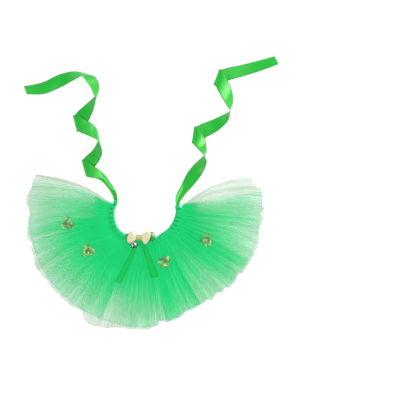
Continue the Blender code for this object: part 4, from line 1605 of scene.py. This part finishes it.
@dataclass
class BowTail(DressedNode):
    """A sheer ribbon that hangs from the knot over the skirt.

    Attributes:
        start_mm: Where it leaves the knot.
        bend_mm: The corner that its curve is drawn to.
        end_mm: Its cut end.
        start_width_mm: Its width as gathered at the knot.
        end_width_mm: Its width at the cut.
        cut_slant_mm: How far one corner of the cut is ahead of the other.
        clearance: How high it lies over the top net's crests.
        gathers: Gathers across it where it leaves the knot.
        gather_height: Their height.
        curl_height: How high its edges curl.
        narrowest: The least width that its flat size counts; not used.
        rows: Points along.
        columns: Points across.
    """

    start_mm: tuple[float, float]
    bend_mm: tuple[float, float]
    end_mm: tuple[float, float]
    start_width_mm: float
    end_width_mm: float
    cut_slant_mm: float
    clearance: float = 0.9 * MM
    gathers: float = 2.0
    gather_height: float = 0.35 * MM
    curl_height: float = 0.6 * MM
    narrowest: float = 10.5 * MM
    rows: int = 60
    columns: int = 15

    def build(self, finish: OrganzaFinish) -> None:
        """Makes the tail: a parabola in plan, lying on the top net's crests, with soft waves.

        Args:
            finish: The sheer ribbon.
        """
        t = np.linspace(0.0, 1.0, self.rows)[:, None]
        start, bend, end = (np.array(p) for p in (self.start_mm, self.bend_mm, self.end_mm))
        middle = (1 - t) ** 2 * start + 2 * t * (1 - t) * bend + t**2 * end
        along = 2 * (1 - t) * (bend - start) + 2 * t * (end - bend)
        along = along / np.linalg.norm(along, axis=1, keepdims=True)
        aside = np.stack([-along[:, 1], along[:, 0]], axis=1)
        width = self.start_width_mm + (self.end_width_mm - self.start_width_mm) * t
        across = np.linspace(-0.5, 0.5, self.columns)
        plan = middle[:, None, :] + aside[:, None, :] * width[:, None] * across[None, :, None]
        ahead = (self.cut_slant_mm * t**6)[:, None] * across[None, :, None]
        plan = (plan + along[:, None, :] * ahead) * MM
        radius = np.hypot(plan[:, :, 0], plan[:, :, 1] - NECK_RADIUS)
        gather = np.cos(2.0 * math.pi * self.gathers * across)[None, :]
        gather = gather * (1.0 - smooth_between(0.0, 0.8, t))
        curl = self.curl_height * np.sin(5.0 * t + 3.0 * across[None, :])
        raised = self.gather_height * gather + np.maximum(curl, 0.0)
        z = top_crest(radius) + self.clearance + raised
        points = np.concatenate([plan, z[:, :, None]], axis=2)
        length = travelled(points[:, self.columns // 2])
        uv = ribbon_uv(length, finish.width, self.columns)
        piece = add_grid(self.name, Grid(points, uv), finish.material())
        settle(piece, Slot.GREEN_ORGANZA, self.node)


@dataclass
class FrontBows:
    """The green bow with its tails, and the cream bow on top of it.

    Attributes:
        green: The green bow's satin.
        cream: The cream bow's satin.
        knot: The satin of the band round their middle.
        sheer: The tails' ribbon.
        knot_centre_mm: The band's middle.
        knot_half_mm: Half its size, across, to the front and up.
        knot_round: Once round the band.
        wall: The band's thickness.
    """

    green: SatinFinish = SatinFinish(
        name="green bow satin", colour=(0.008, 0.29, 0.026, 1.0), deep=(0.004, 0.14, 0.012, 1.0),
        edge=(0.005, 0.09, 0.012, 1.0), gleam=(0.75, 1.0, 0.55, 1.0), width=18.0 * MM,
    )
    # The cream loops' edge colour is a painted yellow reflection; their deep colour is painted
    # shade.
    cream: SatinFinish = SatinFinish(
        name="cream bow satin", colour=(0.60, 0.58, 0.39, 1.0), deep=(0.54, 0.46, 0.29, 1.0),
        edge=(0.60, 0.58, 0.32, 1.0), gleam=(1.0, 0.95, 0.80, 1.0), width=24.0 * MM,
    )
    knot: SatinFinish = SatinFinish(
        name="cream wrap satin", colour=(0.43, 0.41, 0.20, 1.0), deep=(0.34, 0.31, 0.13, 1.0),
        edge=(0.34, 0.31, 0.13, 1.0), gleam=(1.0, 0.95, 0.80, 1.0), width=9.4 * MM,
    )
    sheer: OrganzaFinish = OrganzaFinish(
        name="green organza", colour=(0.006, 0.43, 0.055, 1.0), edge=(0.006, 0.36, 0.04, 1.0),
        width=15.0 * MM,
    )
    knot_centre_mm: tuple[float, float, float] = (-12.7, 12.7, 14.4)
    knot_half_mm: tuple[float, float, float] = (4.7, 5.5, 6.0)
    knot_round: float = 36.0 * MM
    wall: float = RIBBON_WALL

    def build(self) -> None:
        """Makes the wrap, the four loops and the two tails."""
        self.build_wrap()
        BowLoop(
            name="green_bow_left_satin", node="green_bow_loop_left", slot=Slot.GREEN_SATIN,
            heading_deg=188.5, start_mm=(-17.8, 12.4), mid_height_mm=11.3, length_mm=20.4,
            upper_half_mm=9.4, lower_half_mm=9.6, knot_half_mm=3.2, slant=0.04, rounding=0.14,
            puff_mm=2.6,
        ).build(self.green)
        BowLoop(
            name="green_bow_right_satin", node="green_bow_loop_right", slot=Slot.GREEN_SATIN,
            heading_deg=3.0, start_mm=(-7.6, 12.4), mid_height_mm=11.3, length_mm=25.0,
            upper_half_mm=9.2, lower_half_mm=7.4, knot_half_mm=3.4, slant=-0.02, rounding=0.14,
            puff_mm=2.6, ridge_mm=1.6,
        ).build(self.green)
        BowLoop(
            name="cream_bow_left_satin", node="cream_bow_loop_left", slot=Slot.CREAM_SATIN,
            heading_deg=180.5, start_mm=(-17.8, 13.0), mid_height_mm=17.4, length_mm=16.6,
            upper_half_mm=10.9, lower_half_mm=11.2, knot_half_mm=4.0, slant=-0.14,
            rounding=0.26, puff_mm=2.7,
        ).build(self.cream)
        BowLoop(
            name="cream_bow_right_satin", node="cream_bow_loop_right", slot=Slot.CREAM_SATIN,
            heading_deg=4.0, start_mm=(-7.6, 12.6), mid_height_mm=17.4, length_mm=16.8,
            upper_half_mm=10.4, lower_half_mm=12.8, knot_half_mm=4.0, slant=0.26, rounding=0.30,
            puff_mm=2.7,
        ).build(self.cream)
        BowTail(
            name="green_bow_left_tail", node="green_bow_tail_left", start_mm=(-16.0, 5.2),
            bend_mm=(-30.0, -29.0), end_mm=(-51.5, -72.5), start_width_mm=7.0,
            end_width_mm=12.0, cut_slant_mm=-4.0,
        ).build(self.sheer)
        BowTail(
            name="green_bow_right_tail", node="green_bow_tail_right", start_mm=(-7.6, 5.2),
            bend_mm=(5.5, -27.0), end_mm=(18.0, -62.5), start_width_mm=7.0, end_width_mm=15.0,
            cut_slant_mm=3.0,
        ).build(self.sheer)

    def build_wrap(self) -> None:
        """Makes the band round the bows' middle.

        Its section is a squared oval, its waist is drawn in, and three soft folds run round it.
        """
        rows, columns = 48, 17
        turn = full_turn(rows)[:, None]
        across = np.linspace(-1.0, 1.0, columns)[None, :]
        round_it = np.concatenate([np.cos(turn), np.sin(turn)], axis=1)[:, None, :]
        squared = np.sign(round_it) * np.abs(round_it) ** 0.75
        waist = 0.90 + 0.10 * across**2 - 0.55 * np.clip(np.abs(across) - 0.82, 0.0, 1.0)
        folds = 1.0 + 0.045 * np.cos(3.0 * math.pi * across + 0.6 * np.sin(turn))
        size = waist * folds * 0.96
        x = self.knot_centre_mm[0] + self.knot_half_mm[0] * across + 0.0 * turn
        y = self.knot_centre_mm[1] + self.knot_half_mm[1] * squared[:, :, 0] * size
        z = self.knot_centre_mm[2] + self.knot_half_mm[2] * squared[:, :, 1] * size
        points = np.stack([x, y, z], axis=2) * MM
        uv = ribbon_uv(np.linspace(0.0, self.knot_round, rows + 1), self.knot.width, columns)
        grid = Grid(points, uv, closed_rows=True)
        piece = add_grid("cream_bow_wrap", grid, self.knot.material())
        give_wall(piece, self.wall)
        settle(piece, Slot.CREAM_SATIN, "cream_bow_knot")


@dataclass
class JingleBell:
    """A hollow bell of two pressed halves, crossed slots at its mouth and a ball inside.

    Attributes:
        nickel: The shell's and the loop's finish.
        steel: The inner ball's finish.
        centre_mm: The bell's middle.
        radius: Its outer radius.
        wall: Its sheet's thickness.
        seam: How far the pressed seam stands out.
        seam_spread: How far the seam spreads, in radians round the bell.
        slot_width: The slots' width.
        slot_reach_deg: How far from the mouth's middle the slots' holes are.
        slot_turn_deg: The slots' turn about the bell's axis.
        hole: The radius of those holes.
        ball_radius: The inner ball's radius.
        ball_drop: How far under the bell's middle it rests, along the bell's axis.
        loop_radius: The wire loop's radius.
        loop_wire: Half its wire's thickness.
        loop_gap: The room between the shell and the wire.
    """

    nickel: NickelFinish = NickelFinish(name="bright nickel", colour=(0.38, 0.42, 0.41, 1.0))
    steel: NickelFinish = NickelFinish("dark steel", (0.10, 0.10, 0.11, 1.0), roughness=0.3)
    centre_mm: tuple[float, float, float] = (-21.5, -1.2, 17.0)
    radius: float = 7.0 * MM
    wall: float = 0.45 * MM
    seam: float = 0.35 * MM
    seam_spread: float = 0.075
    slot_width: float = 1.8 * MM
    slot_reach_deg: float = 47.0
    slot_turn_deg: float = 4.5
    hole: float = 1.5 * MM
    ball_radius: float = 2.1 * MM
    ball_drop: float = 2.6 * MM
    loop_radius: float = 1.3 * MM
    loop_wire: float = 0.4 * MM
    loop_gap: float = 0.3 * MM

    def facing(self) -> Vector:
        """The way the slots look: forward and up."""
        return Vector((0.0, -0.64, 0.768)).normalized()

    def placed(self, piece: Object) -> Object:
        """Turns a piece's mesh from +Z to the way the slots look and moves it to the bell.

        Args:
            piece: The piece, made about the origin.

        Returns:
            The same piece.
        """
        turn = self.facing().to_track_quat("Z", "Y").to_matrix().to_4x4()
        piece.data.transform(Matrix.Translation(Vector(self.centre_mm) * MM) @ turn)
        piece.data.update()
        return piece

    def build(self) -> None:
        """Makes the shell, its ball and its loop."""
        nickel = self.nickel.material()
        shell = self.build_shell(nickel)
        ball = self.build_ball()
        loop = self.build_loop(nickel)
        settle(shell, Slot.BRIGHT_NICKEL, "jingle_bell")
        settle(ball, Slot.BRIGHT_NICKEL)
        settle(loop, Slot.BRIGHT_NICKEL, "bell_loop")

    def turned(self, name: str, profile: Array, steps: int, finish: Material) -> Object:
        """Turns a profile of radius and height round the bell's axis.

        Args:
            name: The piece's name.
            profile: Points from pole to pole, n by 2.
            steps: Points round.
            finish: Its material.

        Returns:
            The piece, in place.
        """
        turn = full_turn(steps)[None, :]
        body = profile[1:-1]
        x = body[:, 0, None] * np.cos(turn)
        y = body[:, 0, None] * np.sin(turn)
        z = body[:, 1, None] + 0.0 * turn
        points = np.stack([x, y, z], axis=2)
        count = points.shape[0] * steps
        poles = np.array([[0.0, 0.0, profile[0, 1]], [0.0, 0.0, profile[-1, 1]]])
        ring = np.arange(steps)
        ahead = (ring + 1) % steps
        first = np.stack([ring, ahead, np.full(steps, count)], axis=1)
        last = np.stack([ahead, ring, np.full(steps, count + 1)], axis=1)
        last[:, :2] += count - steps
        sides = Grid(points, closed_columns=True).faces()[:, ::-1]
        faces = sides.tolist() + first.tolist() + last.tolist()
        points = np.concatenate([points.reshape(-1, 3), poles])
        return self.placed(add_piece(name, points, faces, finish))

    def build_shell(self, finish: Material) -> Object:
        """The hollow shell: ball profiles, the outer one with a bell curve as its seam, cut open.

        Args:
            finish: Its material.

        Returns:
            The shell with its hollow and its slots cut out.
        """
        polar = np.linspace(0.0, math.pi, 41)
        ball = np.stack([np.sin(polar), np.cos(polar)], 1)
        bulge = self.seam * np.exp(-(((polar - 0.5 * math.pi) / self.seam_spread) ** 2))
        shell = self.turned("jingle_bell_shell", (self.radius + bulge)[:, None] * ball, 64, finish)
        cutters = (
            self.turned("bell_hollow", (self.radius - self.wall) * ball, 48, finish),
            self.slot_cutter(self.slot_turn_deg, finish),
            self.slot_cutter(90.0 + self.slot_turn_deg, finish),
        )
        for cutter in cutters:
            cut = shell.modifiers.new("cut", "BOOLEAN")
            cut.operation = "DIFFERENCE"
            cut.solver = "EXACT"
            cut.object = cutter
            held = bpy.context.evaluated_depsgraph_get()
            mesh = bpy.data.meshes.new_from_object(shell.evaluated_get(held))
            shell.modifiers.clear()
            old, shell.data = shell.data, mesh
            bpy.data.meshes.remove(old)
            bpy.data.objects.remove(cutter, do_unlink=True)
        return shell

    def slot_cutter(self, turn_deg: float, finish: Material) -> Object:
        """A slot with a round hole at each end, as one prism across the bell's mouth.

        Its outline is a bar between two circles; the prism stands on the bell's middle plane.

        Args:
            turn_deg: The slot's turn about the bell's axis.
            finish: Any material.

        Returns:
            The cutter.
        """
        end = self.radius * math.sin(math.radians(self.slot_reach_deg))
        opening = math.asin(0.5 * self.slot_width / self.hole)
        arc = np.linspace(math.pi - opening, opening - math.pi, 17)
        right = np.stack([end + self.hole * np.cos(arc), self.hole * np.sin(arc)], 1)
        outline = np.concatenate([right, -right])
        turn = math.radians(turn_deg)
        x = outline[:, 0] * math.cos(turn) - outline[:, 1] * math.sin(turn)
        y = outline[:, 0] * math.sin(turn) + outline[:, 1] * math.cos(turn)
        count = len(outline)
        ends = [np.full(count, share * self.radius) for share in (0.2, 1.4)]
        points = np.concatenate([np.stack([x, y, z], 1) for z in ends])
        ring = np.arange(count)
        ahead = (ring + 1) % count
        faces = np.stack([ring, ahead, ahead + count, ring + count], 1).tolist()
        faces += [ring[::-1].tolist(), (ring + count).tolist()]
        cutter = self.placed(add_piece("bell_slot", points, faces, finish, smooth=False))
        middle = Vector(self.centre_mm) * MM
        sides = cutter.data.polygons
        if sum(side.area * side.normal.dot(side.center - middle) for side in sides) < 0.0:
            cutter.data.flip_normals()
        return cutter

    def build_ball(self) -> Object:
        """The ball that rings it, resting low in the hollow.

        Returns:
            The piece.
        """
        polar = np.linspace(0.0, math.pi, 17)
        profile = self.ball_radius * np.stack([np.sin(polar), np.cos(polar)], 1)
        profile[:, 1] -= self.ball_drop
        return self.turned("jingle_bell_ball", profile, 24, self.steel.material())

    def build_loop(self, finish: Material) -> Object:
        """The wire loop behind the bell: a circle carried round a circle.

        Args:
            finish: Its material.

        Returns:
            The piece.
        """
        reach = self.radius + self.loop_gap + self.loop_radius + self.loop_wire
        middle = Vector(self.centre_mm) * MM - self.facing() * reach
        turn, round_it = full_turn(36)[:, None], full_turn(12)[None, :]
        out = self.loop_radius + self.loop_wire * np.cos(round_it)
        x = middle.x + self.loop_wire * np.sin(round_it) + 0.0 * turn
        y = middle.y + out * np.cos(turn)
        z = middle.z + out * np.sin(turn)
        points = np.stack([x, y, z], axis=2)
        faces = Grid(points, closed_rows=True, closed_columns=True).faces()[:, ::-1]
        return add_piece("jingle_bell_loop", points, faces, finish)


@dataclass
class Clover(DressedNode):
    """A three-leaved foam cut-out covered in glitter flakes.

    Attributes:
        centre_mm: Its middle.
        stem_deg: The way its stem points.
        seed: Which random flakes it has.
        reach: From its middle to a leaf's tip.
        lift: How high it lies over the net's crests.
        flakes: How many glitter flakes it has.
        steps: Points round its outline.
    """

    centre_mm: tuple[float, float]
    stem_deg: float
    seed: int
    reach: float = 13.6 * MM
    lift: float = 0.5 * MM
    flakes: int = 760
    steps: int = 180

    # The foam from its top's middle over the rim to its underside's: shares of the outline,
    # and heights in mm.
    SECTION = (
        (0.0001, 1.05), (0.35, 1.25), (0.7, 1.3), (0.9, 1.15), (1.0, 0.75), (1.0, 0.1),
        (0.9, 0.0), (0.5, 0.0), (0.0001, 0.0),
    )

    def edge(self, angle_deg: Array) -> Array:
        """Its outline: three leaves, each a power of a cosine less a notch, and a stem.

        Args:
            angle_deg: Angles from the stem.

        Returns:
            The share of the reach at each of them.
        """
        from_leaf = (angle_deg - 60.0 + 60.0) % 120.0 - 60.0
        notch = 0.15 * np.exp(-((from_leaf / 10.0) ** 2))
        cosine = np.clip(np.cos(np.radians(1.5 * np.clip(from_leaf, -56.0, 56.0))), 0.02, 1.0)
        leaf = 0.24 + 0.72 * cosine**0.70 - notch
        from_stem = (angle_deg + 180.0) % 360.0 - 180.0
        stem = np.where(np.abs(from_stem) < 5.5, 0.95, 0.0)
        return np.maximum(leaf, stem)

    def height(self, x: Array, y: Array) -> Array:
        """The clover's underside: a plane that follows the net's crests.

        Args:
            x: Places in metres.
            y: The same places' y.

        Returns:
            The plane's height at each place.
        """
        centre = np.array(self.centre_mm) * MM
        out = float(np.hypot(centre[0], centre[1] - NECK_RADIUS))
        away = (centre - np.array([0.0, NECK_RADIUS])) / out
        far, near = top_crest(out + self.reach), top_crest(out - self.reach)
        slope = (far - near) / (2.0 * self.reach)
        level = max(float(top_crest(out)), 0.5 * float(far + near))
        return level + self.lift + slope * ((x - centre[0]) * away[0] + (y - centre[1]) * away[1])

    def patches(self, seed: int, x: Array, y: Array, span: float, cells: int) -> Array:
        """Patches of tint: a lattice laid square over the clover.

        Args:
            seed: Which lattice.
            x: Places in metres.
            y: The same places' y.
            span: The lattice's side.
            cells: Its cells along a side.

        Returns:
            A height from -1 to 1 for each place.
        """
        across = 0.5 + (x - self.centre_mm[0] * MM) / span
        along = 0.5 + (y - self.centre_mm[1] * MM) / span
        return soft_noise(seed, across, along, cells, cells)

    def build(self, base: Material, glitter: Material) -> None:
        """Makes the foam, its section carried round the outline, and scatters the flakes.

        Args:
            base: The foam's finish.
            glitter: The flakes' finish.
        """
        angle = np.linspace(0.0, 360.0, self.steps, endpoint=False)
        rim = self.edge(angle) * self.reach
        section = np.array(self.SECTION)
        share, lift = section[:, 0, None], section[:, 1, None] * MM
        turn = np.radians(angle + self.stem_deg)[None, :]
        centre = np.array(self.centre_mm) * MM
        x = centre[0] + share * rim[None, :] * np.cos(turn)
        y = centre[1] + share * rim[None, :] * np.sin(turn)
        points = np.stack([x, y, self.height(x, y) + lift], axis=2)
        ring = np.arange(self.steps)
        last_ring = ring[::-1] + (len(section) - 1) * self.steps
        faces = Grid(points, closed_columns=True).faces()[:, ::-1].tolist()
        faces += [ring.tolist(), last_ring.tolist()]
        tint = 0.5 + 0.5 * self.patches(self.seed, x, y, 0.05, 12)
        piece = add_piece(self.name, points, faces, base, None, {"tint": tint}, smooth=False)
        settle(piece, Slot.GOLD_GLITTER, self.node)
        cover = self.build_flakes(glitter)

    def build_flakes(self, glitter: Material) -> Object:
        """Scatters square flakes over the leaves, each tilted and tinted its own way.

        Args:
            glitter: The flakes' finish.

        Returns:
            The flakes, as one piece.
        """
        rng = np.random.default_rng(self.seed)
        radius = np.sqrt(rng.uniform(0.0, 1.0, 6 * self.flakes))
        angle = rng.uniform(0.0, 360.0, 6 * self.flakes)
        inside = radius < self.edge(angle) + 0.01
        radius, angle = radius[inside][: self.flakes], angle[inside][: self.flakes]
        count = len(radius)
        turn = np.radians(angle + self.stem_deg)
        centre = np.array(self.centre_mm) * MM
        x = centre[0] + self.reach * radius * np.cos(turn)
        y = centre[1] + self.reach * radius * np.sin(turn)
        dome = 1.30 - 0.55 * smooth_between(0.7, 1.0, radius / self.edge(angle))
        z = self.height(x, y) + (dome + rng.uniform(0.05, 0.35, count)) * MM
        size = rng.uniform(0.50, 1.05, count) * MM
        spin = rng.uniform(0.0, 2.0 * math.pi, count)
        tilt_x, tilt_y = rng.normal(0.0, 0.30, (2, count))
        corner = spin[:, None] + np.radians([45.0, 135.0, 225.0, 315.0])[None, :]
        dx, dy = size[:, None] * np.cos(corner), size[:, None] * np.sin(corner)
        dz = dx * tilt_x[:, None] + dy * tilt_y[:, None]
        points = np.stack([x[:, None] + dx, y[:, None] + dy, z[:, None] + dz], axis=2)
        patch = self.patches(self.seed + 1, x, y, 1.0 / 18.0, 16)
        tint = np.clip(0.35 + 0.58 * patch + rng.normal(0.0, 0.26, count), 0.0, 1.0)
        faces = np.arange(4 * count).reshape(-1, 4)
        values = {"tint": np.repeat(tint, 4)}
        name = self.name + "_glitter"
        piece = add_piece(name, points, faces, glitter, None, values, smooth=False)
        return settle(piece, Slot.GOLD_GLITTER)


@dataclass
class Clovers:
    """The four clovers on the top net.

    Attributes:
        foam: The foam's finish.
        flakes: The glitter's finish.
    """

    foam: GlitterFinish = GlitterFinish(
        name="glitter foam", colour=(0.08, 0.30, 0.07, 1.0), dark=(0.045, 0.175, 0.035, 1.0),
        bright=(0.13, 0.35, 0.085, 1.0), metal=0.0, roughness=0.5,
    )
    flakes: GlitterFinish = GlitterFinish(
        name="glitter flakes", colour=(0.13, 0.35, 0.085, 1.0), dark=(0.045, 0.175, 0.035, 1.0),
        bright=(0.52, 0.78, 0.42, 1.0), metal=0.25, roughness=0.3,
    )

    def build(self) -> None:
        """Makes all four."""
        base, glitter = self.foam.material(), self.flakes.material()
        for clover in (
            Clover("clover_far_left_foam", "clover_far_left", (-145.6, 39.0), 275.0, 101),
            Clover("clover_near_left_foam", "clover_near_left", (-107.2, -12.2), 165.0, 102),
            Clover("clover_near_right_foam", "clover_near_right", (36.2, -33.0), 225.0, 103),
            Clover("clover_far_right_foam", "clover_far_right", (115.5, 8.0), 262.0, 104),
        ):
            clover.build(base, glitter)


class SoftBox(NamedTuple):
    """A soft square lamp: where it stands, its side and its power."""

    name: str
    place: tuple[float, float, float]
    side: float
    watts: float


@dataclass
class Studio:
    """The white table, the lamps and the camera straight above.

    Attributes:
        table: The table's finish.
        table_half: Half the table's side.
        frame_width: The width that the camera sees on the table.
        frame_centre: The place on the table that it looks at.
        camera_height: Its height over the table.
        sensor_mm: Its sensor's width.
        sky: The room's light from low down.
        sky_dark: The room's light from straight above.
        sky_from: The height, as a direction's share, at which it starts to fall.
        sky_to: The height at which it is least.
        lamps: The soft lamps.
    """

    table: FloorFinish = FloorFinish(name="white table", colour=(0.86, 0.86, 0.86, 1.0))
    table_half: float = 6.0
    frame_width: float = 0.76
    frame_centre: tuple[float, float] = (0.1026, 0.0830)
    camera_height: float = 2.0
    sensor_mm: float = 36.0
    sky: float = 1.25
    sky_dark: float = 0.16
    sky_from: float = 0.40
    sky_to: float = 0.88
    lamps: tuple[SoftBox, ...] = (
        SoftBox("key lamp", (1.75, 1.15, 2.2), 1.0, 84.0),
        SoftBox("fill lamp", (-1.9, -1.3, 1.9), 1.3, 18.0),
    )

    def build(self) -> None:
        """Makes the table, the sky, the lamps and the camera."""
        bpy.context.scene.view_settings.view_transform = "Standard"
        self.build_table()
        self.build_sky()
        for lamp in self.lamps:
            self.build_lamp(lamp)
        self.build_camera()

    def build_table(self) -> None:
        """Makes the table and keeps it out of the model."""
        signs = np.array([[-1.0, -1.0, 0.0], [1.0, -1.0, 0.0], [1.0, 1.0, 0.0], [-1.0, 1.0, 0.0]])
        quad = np.array([[0, 1, 2, 3]])
        finish = self.table.material()
        add_piece("floor", self.table_half * signs, quad, finish, smooth=False)

    def build_sky(self) -> None:
        """Makes the room: white all round, with less light from straight above."""
        world = bpy.data.worlds.new("white room")
        world.use_nodes = True
        tree = world.node_tree
        toward = tree.nodes.new("ShaderNodeTexCoord").outputs["Generated"]
        rise = tree.nodes.new("ShaderNodeSeparateXYZ")
        share = tree.nodes.new("ShaderNodeMapRange")
        share.interpolation_type = "SMOOTHSTEP"
        limits = (self.sky_from, self.sky_to, self.sky, self.sky_dark)
        for number, limit in enumerate(limits, start=1):
            share.inputs[number].default_value = limit
        tree.links.new(toward, rise.inputs[0])
        tree.links.new(rise.outputs[2], share.inputs[0])
        background = tree.nodes["Background"]
        background.inputs["Color"].default_value = (1.0, 1.0, 1.0, 1.0)
        tree.links.new(share.outputs[0], background.inputs["Strength"])
        bpy.context.scene.world = world

    def build_lamp(self, lamp: SoftBox) -> None:
        """Hangs a lamp, turned towards the middle of the picture.

        Args:
            lamp: Which one.
        """
        light = bpy.data.lights.new(lamp.name, "AREA")
        light.size, light.energy = lamp.side, lamp.watts
        light.use_shadow = False
        holder = add_object(lamp.name, light)
        holder.location = lamp.place
        toward = Vector((*self.frame_centre, 0.0)) - Vector(lamp.place)
        holder.rotation_euler = toward.to_track_quat("-Z", "Y").to_euler()

    def build_camera(self) -> None:
        """Stands the camera over the table, looking straight down."""
        camera = bpy.data.cameras.new("camera")
        camera.sensor_width = self.sensor_mm
        camera.lens = self.sensor_mm * self.camera_height / self.frame_width
        holder = add_object("camera", camera)
        holder.location = (*self.frame_centre, self.camera_height)
        bpy.context.scene.camera = holder


def main() -> None:
    """Builds every piece and dresses it, logging each piece's points and faces."""
    logging.basicConfig(level=logging.INFO, format="%(message)s")
    Studio().build()
    NeckCasing().build()
    TulleSkirts().build()
    SatinTies().build()
    FrontBows().build()
    JingleBell().build()
    Clovers().build()


if __name__ == "__main__":
    main()
